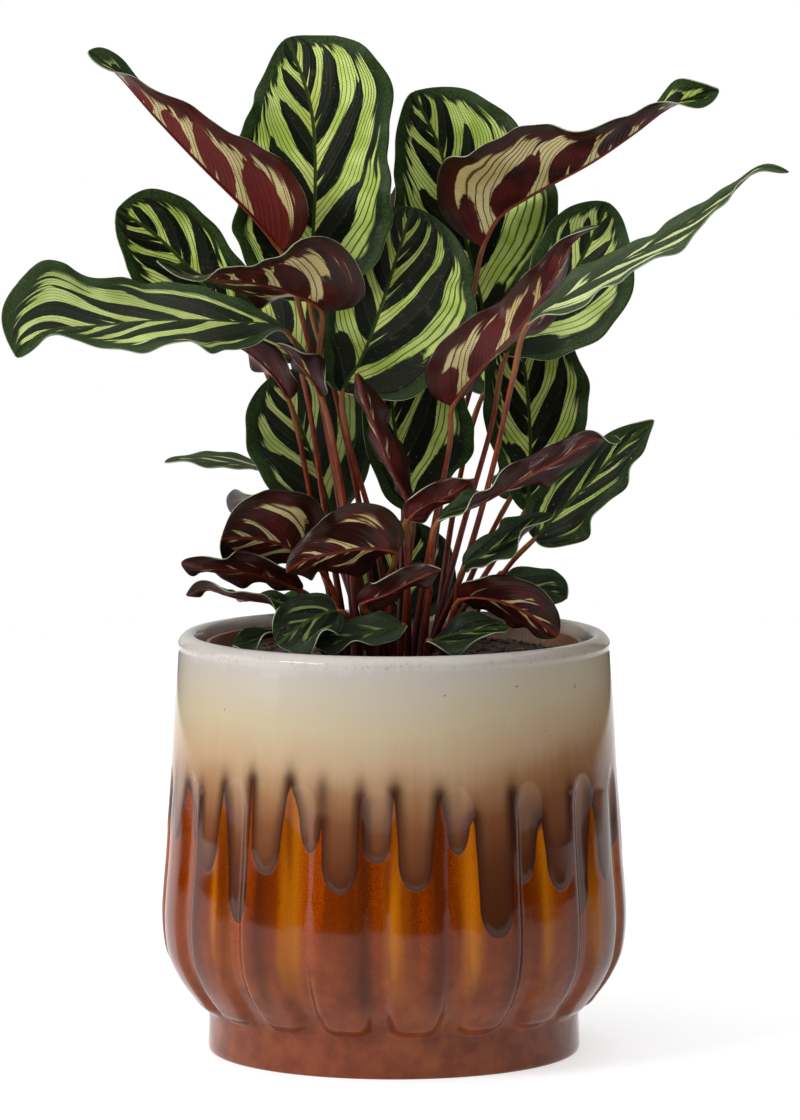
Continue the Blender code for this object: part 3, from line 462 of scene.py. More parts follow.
def drip_line(drips):
    """The lower edge of the pale glaze round the pot, as angles a twentieth of a degree apart and their
    heights, and the tops of the gaps between drips."""
    around = np.arange(-180.0, 180.0, 0.05)
    line = np.full(around.shape, 400.0)
    cusps = []
    for index, (centre, end, half, gap) in enumerate(drips):
        before = drips[index - 1]
        following = drips[(index + 1) % len(drips)]
        turn = nearest_turn(around - centre)
        to_left = (centre - before[0]) % 360 - half - before[2]
        to_right = (following[0] - centre) % 360 - half - following[2]
        room = np.where(turn < 0, to_left, to_right) / 2
        top = np.where(turn < 0, before[3], gap)
        off = np.abs(turn) / half
        bowl = end + DRIP_BOWL * (1 - np.sqrt(np.clip(1 - 0.97 * off ** 2, 0.0, 1)))
        rim = end + DRIP_BOWL * (1 - math.sqrt(0.03))
        beyond = np.clip(np.abs(turn) - half, 0, None) / np.maximum(room, 0.5)
        side = rim + (top - rim) * beyond ** 0.75
        line = np.minimum(line, np.where(off < 1, bowl, side))
        cusps.append((centre + half + max(to_right, 0.0) / 2, gap))
    return around, line, cusps


def glaze_fields(angles, heights):
    """For each point of the wall: the distance to the pale glaze's edge, above it positive, how near it is
    to the dark tops of the gaps between drips, and how golden it is, which is negative beside a streak."""
    around, line, cusps = drip_line(all_drips())
    line = line + 0.3 * np.sin(np.radians(around * 37)) + 0.2 * np.sin(np.radians(around * 71 + 40))
    path = np.stack([around * WALL_DEGREE, line], axis=1)
    path = along(path, np.linspace(0, 1, int(length_of(path) / DRIP_EDGE_STEP)))
    degrees = np.degrees(angles)
    whole = 360 * WALL_DEGREE
    distance = np.empty(degrees.shape)
    for column in range(degrees.shape[1]):
        turn = (path[:, 0] - degrees[0, column] * WALL_DEGREE + whole / 2) % whole - whole / 2
        near = np.abs(turn) < DRIP_EDGE_REACH
        dz = path[near, 1] - heights[:, column][:, None]
        distance[:, column] = np.hypot(turn[near], dz).min(axis=1)
    distance *= np.where(heights > np.interp(degrees, around, line, period=360), 1, -1)
    smoke = np.zeros(degrees.shape)
    for centre, top in cusps:
        turn = nearest_turn(degrees - centre) * WALL_DEGREE
        above = heights - top
        fade = np.where(above > 0, 7.0, 22.0)
        smoke = np.maximum(smoke, np.exp(-(turn / 3.0) ** 2 - (above / fade) ** 2))
    gold = np.zeros(degrees.shape)
    for centre in GOLD_STREAKS:
        turn = nearest_turn(degrees - centre)
        gold += np.exp(-(turn / 2.6) ** 2) - 0.8 * np.exp(-((turn + 8.5) / 2.8) ** 2)
    return stacked(distance, smoke, gold)


def share_of(value):
    return np.clip(value, 0, 1)


def eased(value):
    """A soft step from zero to one."""
    share = share_of(value)
    return share * share * (3 - 2 * share)


def flute_mask(angle, height):
    """One at the bottom of a flute and zero on the land between flutes."""
    off = np.abs((angle - FLUTE_START + FLUTE_PITCH / 2) % FLUTE_PITCH - FLUTE_PITCH / 2)
    closing = np.sqrt(1 - share_of((height - 111.0) / 14.0) ** 2)
    petal = share_of((31.0 - height) / 11.5)
    opening = 1 + 0.75 * (1 - np.sqrt(1 - petal ** 2.4))
    half = np.maximum(FLUTE_HALF * closing * opening, 1e-4)
    return share_of(eased(1 - off / half) * 1.5) ** 0.9 * share_of(closing * 1.6)


def make_pot(material):
    """The ceramic pot with its flutes, petal-shaped ends and raised drips."""
    wall_heights = np.concatenate([
        [0.0, 0.5, 1.0, 3.0, 6.0, 9.0, 12.0, 14.5, 16.5], np.linspace(17.4, 24.0, 12),
        np.linspace(25.2, 60.0, 28), np.linspace(61.1, 132.0, 64), np.linspace(134.0, 174.0, 16),
    ])
    angle = circle(FLUTES * FLUTE_STEPS)
    angles, heights = np.meshgrid(angle, wall_heights)
    land, bed = (np.interp(heights, *smooth_curve(wall).T) for wall in (LAND_WALL, BED_WALL))
    glaze = glaze_fields(angles, heights)
    drip = DRIP_THICKNESS * eased((glaze[..., 0] + 0.4) / 2.6) * share_of((150 - heights) / 50)
    across = (angles - FLUTE_START) % FLUTE_PITCH / FLUTE_PITCH
    crown = 0.5 * np.sin(np.pi * across) ** 2 * share_of((118 - heights) / 20) * share_of((heights - 17) / 10)
    sink = 0.5 * share_of((heights - 16.5) / 3.5)
    radius = land + (bed - land) * flute_mask(angles, heights) + drip + crown - sink
    inside = np.vstack([smooth_curve([(174.0, 92.2)] + RIM + BORE[:3])[3::3], BORE[3:]])
    grid = np.concatenate([turned(radius, angles, heights), turned(inside[:, 1:], angle, inside[:, :1])])
    plain = np.broadcast_to([60.0, 0.0, 0.0], (len(inside), len(angle), 3))
    values = {"glaze_place": np.concatenate([glaze, plain])}
    faces = ring_faces(*grid.shape[:2])
    make_piece("pot", grid.reshape(-1, 3), faces, [material], fields=values, sharp=60)


def make_cup(material):
    """The nursery pot, a closed turned body, up the outside and down the inside."""
    outline = np.array(CUP)
    grid = turned(outline[:, 1:], circle(CUP_SIDES), outline[:, :1])
    faces = ring_faces(len(CUP), CUP_SIDES)
    make_piece("nursery_pot", grid.reshape(-1, 3), faces, [material], sharp=40)


def soil_height(x, y):
    """The rough top of the soil, a little heaped between the stalks."""
    r = math.hypot(x, y)
    level = SOIL_LEVEL + 0.6 * math.exp(-((r - 58) / 14) ** 2) - 1.2 * max(0.0, (r - 66) / 12)
    level += 3.0 * math.exp(-(((x - 43) / 9) ** 2 + ((y + 42) / 9) ** 2))
    coarse = noise.fractal(Vector((x / 14, y / 14, 3.0)), 0.8, 2.0, 4)
    fine = noise.fractal(Vector((x / 3.2, y / 3.2, 8.0)), 0.7, 2.1, 3)
    return level + 1.1 * coarse + 0.55 * fine


def make_soil(material):
    """The soil: a rough crumbly top, bits of bark and fibres, and a plain side and underside."""
    sides = SOIL_SIDES
    reaches = np.concatenate([np.linspace(2.0, SOIL_RIM - 0.8, 66), [SOIL_RIM]])
    points = [(0.0, 0.0, soil_height(0.0, 0.0))]
    turns = [2 * math.pi * step / sides for step in range(sides)]
    for reach in reaches:
        for turn in turns:
            x, y = reach * math.sin(turn), -reach * math.cos(turn)
            points.append((x, y, soil_height(x, y)))
    for turn in turns:
        points.append((SOIL_FLOOR_RADIUS * math.sin(turn), -SOIL_FLOOR_RADIUS * math.cos(turn), SOIL_FLOOR))
    faces = []
    for step in range(sides):
        faces.append((0, 1 + step, 1 + (step + 1) % sides))
        for row in range(len(reaches)):
            a = 1 + row * sides + step
            b = 1 + row * sides + (step + 1) % sides
            faces.append((a, a + sides, b + sides, b))
    floor = 1 + len(reaches) * sides
    faces.append(tuple(range(floor + sides - 1, floor - 1, -1)))
    picks = np.random.default_rng(SEED + 1)
    for number in range(CRUMBS):
        reach = (SOIL_RIM - 3.5) * math.sqrt(picks.uniform(0.0, 1))
        turn = picks.uniform(0, 2 * math.pi)
        centre = np.array([reach * math.sin(turn), -reach * math.cos(turn), 0.0])
        centre[2] = soil_height(centre[0], centre[1]) + picks.uniform(-0.3, 0.6)
        if number % 3:
            size = picks.uniform(0.5, 1.0, 3) * picks.choice([1.0, 1.5, 2.4], p=[0.5, 0.35, 0.15])
            add_crumb(points, faces, centre, size, picks)
        else:
            add_fibre(points, faces, centre, picks)
    make_piece("soil", np.array(points), faces, [material])


def add_crumb(points, faces, centre, size, picks):
    """One irregular lump of bark or peat with eight uneven corners."""
    start = len(points)
    turn = picks.uniform(0, math.pi)
    ahead = np.array([math.cos(turn), math.sin(turn), picks.uniform(-0.3, 0.3)])
    side = np.array([-math.sin(turn), math.cos(turn), picks.uniform(-0.3, 0.3)])
    up = np.array([0.0, 0.0, 1.0])
    for k in (-1, 1):
        for j in (-1, 1):
            for i in (-1, 1):
                uneven = picks.uniform(0.55, 1.1, 3)
                corner = centre + i * size[0] * uneven[0] * ahead + j * size[1] * uneven[1] * side
                points.append(tuple(corner + k * 0.7 * size[2] * uneven[2] * up))
    for face in ((0, 2, 3, 1), (4, 5, 7, 6), (0, 1, 5, 4), (1, 3, 7, 5), (3, 2, 6, 7), (2, 0, 4, 6)):
        faces.append(tuple(start + corner for corner in face))


def add_fibre(points, faces, centre, picks):
    """One short bent root fibre lying on the soil."""
    turn = picks.uniform(0, 2 * math.pi)
    bend = picks.uniform(-0.5, 0.5)
    reach = picks.uniform(2.0, 6.0)
    centres = []
    for share in np.linspace(-0.5, 0.5, 6):
        way = turn + bend * share * 2
        x = centre[0] + reach * share * math.cos(way)
        y = centre[1] + reach * share * math.sin(way)
        if math.hypot(x, y) > SOIL_RIM - 1:
            return
        centres.append([x, y, soil_height(x, y) + 0.35 + 0.5 * math.cos(math.pi * share)])
    centres = np.array(centres)
    made, sides = tube(centres, unit(np.gradient(centres, axis=0)), np.full(6, picks.uniform(0.12, 0.28)), 4)
    start = len(points)
    points.extend(map(tuple, made))
    faces.extend(tuple(start + index for index in face) for face in sides)


def linear(code):
    """A colour given as six hexadecimal digits, as linear red, green, blue and full alpha."""
    shares = [int(code[i : i + 2], 16) / 255 for i in (0, 2, 4)]
    return tuple(c / 12.92 if c <= 0.04045 else ((c + 0.055) / 1.055) ** 2.4 for c in shares) + (1.0,)


class Value:
    """A number or colour that varies over a material. What is done with it is added as nodes."""

    def __init__(self, finish, socket):
        self.finish = finish
        self.socket = socket

    def math(self, operation, *others):
        return self.finish.math(operation, self, *others)

    def __add__(self, other):
        return self.math("ADD", other)

    def __sub__(self, other):
        return self.math("SUBTRACT", other)

    def __rsub__(self, other):
        return self.finish.math("SUBTRACT", other, self)

    def __mul__(self, other):
        return self.math("MULTIPLY", other)

    def __truediv__(self, other):
        return self.math("DIVIDE", other)

    def __abs__(self):
        return self.math("ABSOLUTE")

    def clamped(self):
        return self.math("MAXIMUM", 0.0).math("MINIMUM", 1.0)

    def step(self, start, end):
        """A smooth step from zero at the start to one at the end."""
        ends = {"Value": self, "From Min": start, "From Max": end}
        return self.finish.node("MapRange", ends, "Result", interpolation_type="SMOOTHSTEP")

    def chance(self):
        """An even random number from zero to one for each whole value."""
        return self.finish.node("TexWhiteNoise", {"W": self}, 0, noise_dimensions="1D")

    def mix(self, first, second):
        """The first colour where the value is zero, the second where it is one."""
        return self.finish.node("Mix", {0: self, 6: first, 7: second}, 2, data_type="RGBA")

    def over(self, *layers):
        """This colour with layers of (share, colour) laid over it in turn."""
        tone = self
        for share, colour in layers:
            tone = share.mix(tone, colour)
        return tone

    def parts(self):
        """The three numbers of a vector."""
        apart = self.finish.tree.nodes.new("ShaderNodeSeparateXYZ")
        self.finish.plug(apart.inputs[0], self)
        return [Value(self.finish, socket) for socket in apart.outputs]


class Finish:
    """A material under construction."""

    def __init__(self, name, roughness, shine=0.5):
        self.material = bpy.data.materials.new(name)
        self.material.use_nodes = True
        self.tree = self.material.node_tree
        self.surface = self.tree.nodes["Principled BSDF"].inputs
        self.surface["Roughness"].default_value = roughness
        self.surface["Specular IOR Level"].default_value = shine

    def plug(self, socket, value):
        """Link a value to a socket, or set the socket to a number, a vector or a colour's code."""
        if isinstance(value, Value):
            self.tree.links.new(value.socket, socket)
        else:
            socket.default_value = linear(value) if isinstance(value, str) else value

    def node(self, kind, inputs, output, **settings):
        """One output of a new node with these settings and inputs."""
        made = self.tree.nodes.new("ShaderNode" + kind)
        for key, value in settings.items():
            setattr(made, key, value)
        for key, value in inputs.items():
            self.plug(made.inputs[key], value)
        return Value(self, made.outputs[output])

    def math(self, operation, *values):
        return self.node("Math", dict(enumerate(values)), 0, operation=operation)

    def field(self, name):
        """The three numbers of a field stored on the piece."""
        return self.node("Attribute", {}, "Vector", attribute_name=name).parts()

    def place(self, stretch=(1.0, 1.0, 1.0)):
        """Where a point lies on the object, in millimetres times the stretch."""
        inputs = {0: self.node("TexCoord", {}, "Object"), 1: [share / MM for share in stretch]}
        return self.node("VectorMath", inputs, 0, operation="MULTIPLY")

    def noise(self, scale, detail=2.0, roughness=0.5, stretch=(1.0, 1.0, 1.0)):
        """Soft noise, its scale in swings to a millimetre."""
        inputs = {"Vector": self.place(stretch), "Scale": scale, "Detail": detail, "Roughness": roughness}
        return self.node("TexNoise", inputs, 0)

    def ramp(self, value, stops):
        """Colours by value, from (place, colour) stops."""
        made = self.node("ValToRGB", {0: value}, 0)
        ramp = made.socket.node.color_ramp
        while len(ramp.elements) < len(stops):
            ramp.elements.new(0.5)
        for element, (place, code) in zip(ramp.elements, stops):
            element.position = place
            element.color = linear(code)
        return made

    def done(self, tone, relief=None, depth=0.0, roughness=None):
        """The material, given its colour, a relief this many millimetres deep and its roughness."""
        self.plug(self.surface["Base Color"], tone)
        if relief:
            bump = self.node("Bump", {"Height": relief, "Distance": depth * MM}, 0)
            self.plug(self.surface["Normal"], bump)
        if roughness:
            self.plug(self.surface["Roughness"], roughness)
        return self.material


def feather(finish, swell, edge_room, line_share):
    """The blade's pattern: how pale a point is, whether it lies in a dark oval, the vein lines, the fine
    cross lines and the leaf's own numbers."""
    place, vein, out = finish.field("vein_place")
    edge, run, _ = finish.field("blade_place")
    reach, size, aside = finish.field("oval_place")
    # the leaf's dullness, partly painted shade, and its pallor, partly painted light
    dullness_and_shade, pallor_and_light, origin = finish.field("leaf_mood")

    # each oval's number, its two chances, and the place across it from zero to one
    number = place.math("FLOOR")
    luck = number.chance()
    more_luck = (number + 0.5).chance()
    inside = place.math("FRACT")
    from_middle = abs(inside - 0.5)

    # the fine veins, which also make the ovals' and the bands' ends uneven
    wobble = finish.noise(0.12)
    fine_vein = wobble * 0.5 + vein / VEIN_GAP
    cell_luck = (number * 7.0 + fine_vein.math("FLOOR")).chance()
    from_line = abs(fine_vein.math("FRACT") - 0.5)

    # the ovals: way runs from zero at the rib to one at the oval's end
    way = ((out + (cell_luck - 0.5) * 0.08) / (luck * 0.30 + (reach - 0.17))).clamped()
    belly = way * (1.0 - way) * 1.5 + 0.66
    close = (1.0 - way.math("POWER", 2.8)).math("SQRT")
    half = (luck * 0.08 + (size + (swell - 0.04))) * (belly * close)
    ragged = (finish.noise(0.5) - 0.5) * 0.05
    oval = (from_middle - half + ragged).step(0.014, -0.014)
    from_vein = inside - 0.47  # each oval's own vein runs a little off its middle

    # a thin dark tail from each oval to the margin, and in about half of the ovals a pale sliver at the rib
    gap = (out.step(0.55, 0.95) * 0.2 + 0.02) * (origin.step(0.30, 0.06) * 0.45 + 0.55)
    tail = (from_middle - gap).step(0.015, -0.015) * out.step(0.2, 0.35)
    sliver_half = (1.0 - out / (luck * 0.12 + 0.05)) * 0.05
    sliver = (abs(inside - (more_luck * 0.24 + 0.38)) - sliver_half).step(0.008, -0.008)
    dark = (oval * (1.0 - sliver * luck.math("GREATER_THAN", 0.5))).math("MAXIMUM", tail)

    # the dark margin, and the fine lines, which stop short of it
    room = (cell_luck * 4.5 + edge_room) * (origin.step(0.4, 0.9) * -0.45 + 1.0)
    fade = wobble * 2.0 + room
    calm = out.step(0.97, 0.85) * edge.step(0.6, 2.4)
    line_half = out.step(0.45, 0.95) * line_share + 0.10
    hatch = (run * 5.7 + finish.noise(0.5, 1.0) * 5.0).math("SINE") * 0.5 + 0.5
    return SimpleNamespace(
        pale=(1.0 - dark) * edge.step(fade, fade + 1.8) * (dullness_and_shade * -0.8 + 1.0),
        oval=oval,
        line=from_line.step(0.47 - line_half, 0.5 - line_half * 0.5) * calm,
        from_line=from_line * calm,
        hatch=hatch * calm,
        midrib=aside.step(1.0, 0.55),
        half_dark=from_vein.step(-0.01, 0.01),
        oval_vein=abs(from_vein).step(0.02, 0.006),
        edge=edge, out=out, luck=luck, dullness_and_shade=dullness_and_shade, pallor_and_light=pallor_and_light,
    )


def upper_finish():
    """The upper side: near-black green ovals on lime green, a dark green margin, fine vein lines."""
    finish = Finish("leaf_upper", 0.4, 0.07)
    at = feather(finish, 0.0, 2.2, 0.10)
    fine = finish.noise(0.9)
    # dust and painted sheen: grey patches on some ovals, partly dust and partly soft sheen painted on
    dust_and_sheen = finish.noise(0.22, 3.0, 0.7).step(0.52, 0.78) * at.luck.step(0.45, 0.9)
    speck = finish.noise(1.3, 1.0).step(0.74, 0.80)
    # painted shade and light: the dullness darkens some leaves and the pallor lightens some, beside their own
    # pattern
    lime = finish.noise(0.07, 3.0).step(0.35, 0.65).mix("9CB04C", "BFCE76").over(
        (at.out.step(0.3, 0.0) * 0.35, "B9A95C"), (at.hatch * 0.26, "5F7A30"), (at.line * 0.9, "22350F"),
        (at.pallor_and_light, "C6CCA4"), (at.line * at.pallor_and_light, "6E7F50"),
    )
    dark = at.half_dark.mix("0E1109", "181B10").over((at.oval_vein * 0.3, "3A4430"))
    tone = fine.step(0.3, 0.7).mix("202E12", "2E401C").over(
        (at.edge.step(2.4, 6.5), "131E0E"), ((at.dullness_and_shade * 0.8).clamped(), "1B2019"), (at.oval, dark),
        (at.line * 0.3, "0C120A"), (dust_and_sheen * 0.28, "5A584A"), (speck * 0.45, "A9AFA2"),
        (at.pallor_and_light * 0.4, "66755A"), ((at.pale * (at.pallor_and_light * 0.2 + 1.0)).clamped(), lime),
        (at.midrib, "24380F"),
    )
    return finish.done(tone, at.hatch * -0.12 + at.from_line * -1.0, 0.12, fine * 0.16 + 0.34)


def under_finish():
    """The underside: wine red, glossier, with cream wedges where the upper side is lime."""
    finish = Finish("leaf_under", 0.3, 0.18)
    at = feather(finish, 0.05, 2.6, 0.12)
    cloud = finish.noise(0.06, 3.0)
    cream = cloud.step(0.35, 0.65).mix("B4A26C", "CBBF8C").over(
        (at.hatch * 0.3, "80683C"), (at.line * 0.9, "44180E"),
    )
    # painted shade: the dullness darkens some leaves' undersides; the pallor, partly painted light, reddens
    # some
    tone = at.edge.step(1.5, 7.0).mix("26130A", "3E150E").over(
        (at.oval, cloud.step(0.38, 0.72).mix("240E0A", "4E1B17")),
        (at.pallor_and_light * (at.oval * 0.65 + 0.35), "8C2420"), (at.line * 0.4, "200506"),
        ((at.dullness_and_shade * 1.2).clamped() * 0.4, "2A0A10"), (at.pale, cream), (at.midrib, "571B10"),
    )
    return finish.done(tone, at.hatch * 0.1 + at.from_line, 0.12, cloud * 0.14 + 0.26)


def stalk_finish():
    """Reddish brown stalks with an olive swelling below the blade, darkened towards the soil as painted shade
    under the leaves.
    """
    finish = Finish("leaf_stalk", 0.42, 0.3)
    share = finish.field("blade_place")[2]
    streak = finish.noise(0.9, 3.0, stretch=(1.0, 1.0, 0.08))
    swelling = share.step(0.80, 0.88) * share.step(1.06, 0.99)
    # painted shade: darker towards the soil, where the leaves shade the stalks
    tone = streak.step(0.3, 0.7).mix("561A0C", "82320F").over(
        (share.step(0.6, 0.05), "2C0808"), (swelling * 0.5, "7F5A2C"), (share.step(1.0, 1.2), "5E1C0F"),
    )
    return finish.done(tone, streak, 0.2)


def edge_finish():
    """The thin pale line round the blade."""
    finish = Finish("leaf_margin", 0.5)
    return finish.done(finish.noise(0.2).mix("5C6B4A", "A9AF92"))


def glaze_finish():
    """Running glaze: grey white at the rim, cream, then tan drips over flecked amber, rust below."""
    finish = Finish("pot_glaze_fine", 0.1, 0.24)
    distance, smoke, gold = finish.field("glaze_place")
    aside, _, level = finish.place().parts()
    streak = finish.noise(0.35, 4.0, 0.6, (1.0, 1.0, 0.03))
    ribbon = finish.noise(0.09, stretch=(1.0, 1.0, 0.06))
    cloud = finish.noise(0.03, 3.0)
    patch = finish.noise(0.12, 3.0, 0.6)
    fleck = finish.noise(1.5, 2.0, 0.7)
    speck = finish.noise(0.4, 0.0).step(0.875, 0.885)
    mottle = finish.noise(0.55, 3.0, 0.7).step(0.56, 0.68)

    # the height at which a colour starts, shifted unevenly, and lower down at the right, which paints shade
    # on the pot's right side
    shifted = aside.step(15.0, 85.0) * -12.0 + ((cloud - 0.5) * 14.0 + ((streak - 0.5) * 7.0 + level))
    pale = finish.ramp(shifted / POT_HEIGHT, [
        (0.34, "40200F"), (0.48, "502A18"), (0.60, "6E442B"), (0.68, "8C6849"), (0.75, "A88D70"),
        (0.83, "AE9F84"), (0.91, "ABA292"), (0.95, "A9A299"), (0.985, "B2ADA7"),
    ]).over(
        (distance.step(5.5, 0.2) * 0.72, "3C1E13"), (distance.step(1.5, 0.0) * 0.6, "28110A"),
        (smoke * 0.7, "2E1712"),
    )
    golden = (gold * ribbon.step(0.30, 0.55)).clamped()
    amber = fleck.step(0.35, 0.65).mix("6C2300", "883901").over(
        (ribbon.step(0.56, 0.40) * 0.6, "481A03"), (golden * 0.85, fleck.mix("8E4A04", "B0690A")),
    )
    on_rim = level.step(173.0, 175.5) * level.step(178.6, 177.0)
    tone = patch.step(0.3, 0.7).mix("622A13", "763819").over(
        (cloud.step(0.50, 0.66) * 0.35, "84491F"), (golden * level.step(24.0, 62.0) * 0.6, "A0640F"),
        (shifted.step(34.0, 74.0), amber), ((gold * -0.8).clamped() * level.step(20.0, 40.0), "351206"),
        (distance.step(-0.35, 0.35), pale), (speck * 0.5, "3A2018"), (on_rim * mottle * 0.4, "6E5A5C"),
    )
    return finish.done(tone, fleck * 0.2 + streak, 0.03, patch * 0.08 + 0.03)


def plastic_finish():
    """Moulded reddish brown plastic with fine scuffs."""
    finish = Finish("nursery_plastic_fine", 0.45)
    scuff = finish.noise(1.2, 3.0, stretch=(1.0, 1.0, 0.1))
    tone = (scuff.step(0.45, 0.75) * finish.noise(0.08, 3.0)).mix("704A2E", "9A7150")
    return finish.done(tone, scuff, 0.06, scuff * 0.2 + 0.36)


def soil_finish():
    """Dark crumbly soil with paler bark and fibres."""
    finish = Finish("potting_soil_fine", 0.95)
    grain = finish.noise(0.55, 4.0, 0.65)
    tone = grain.step(0.35, 0.7).mix("17100B", "4A3420").over((finish.noise(0.16).step(0.62, 0.72), "6B4E30"))
    return finish.done(tone, grain, 0.8)


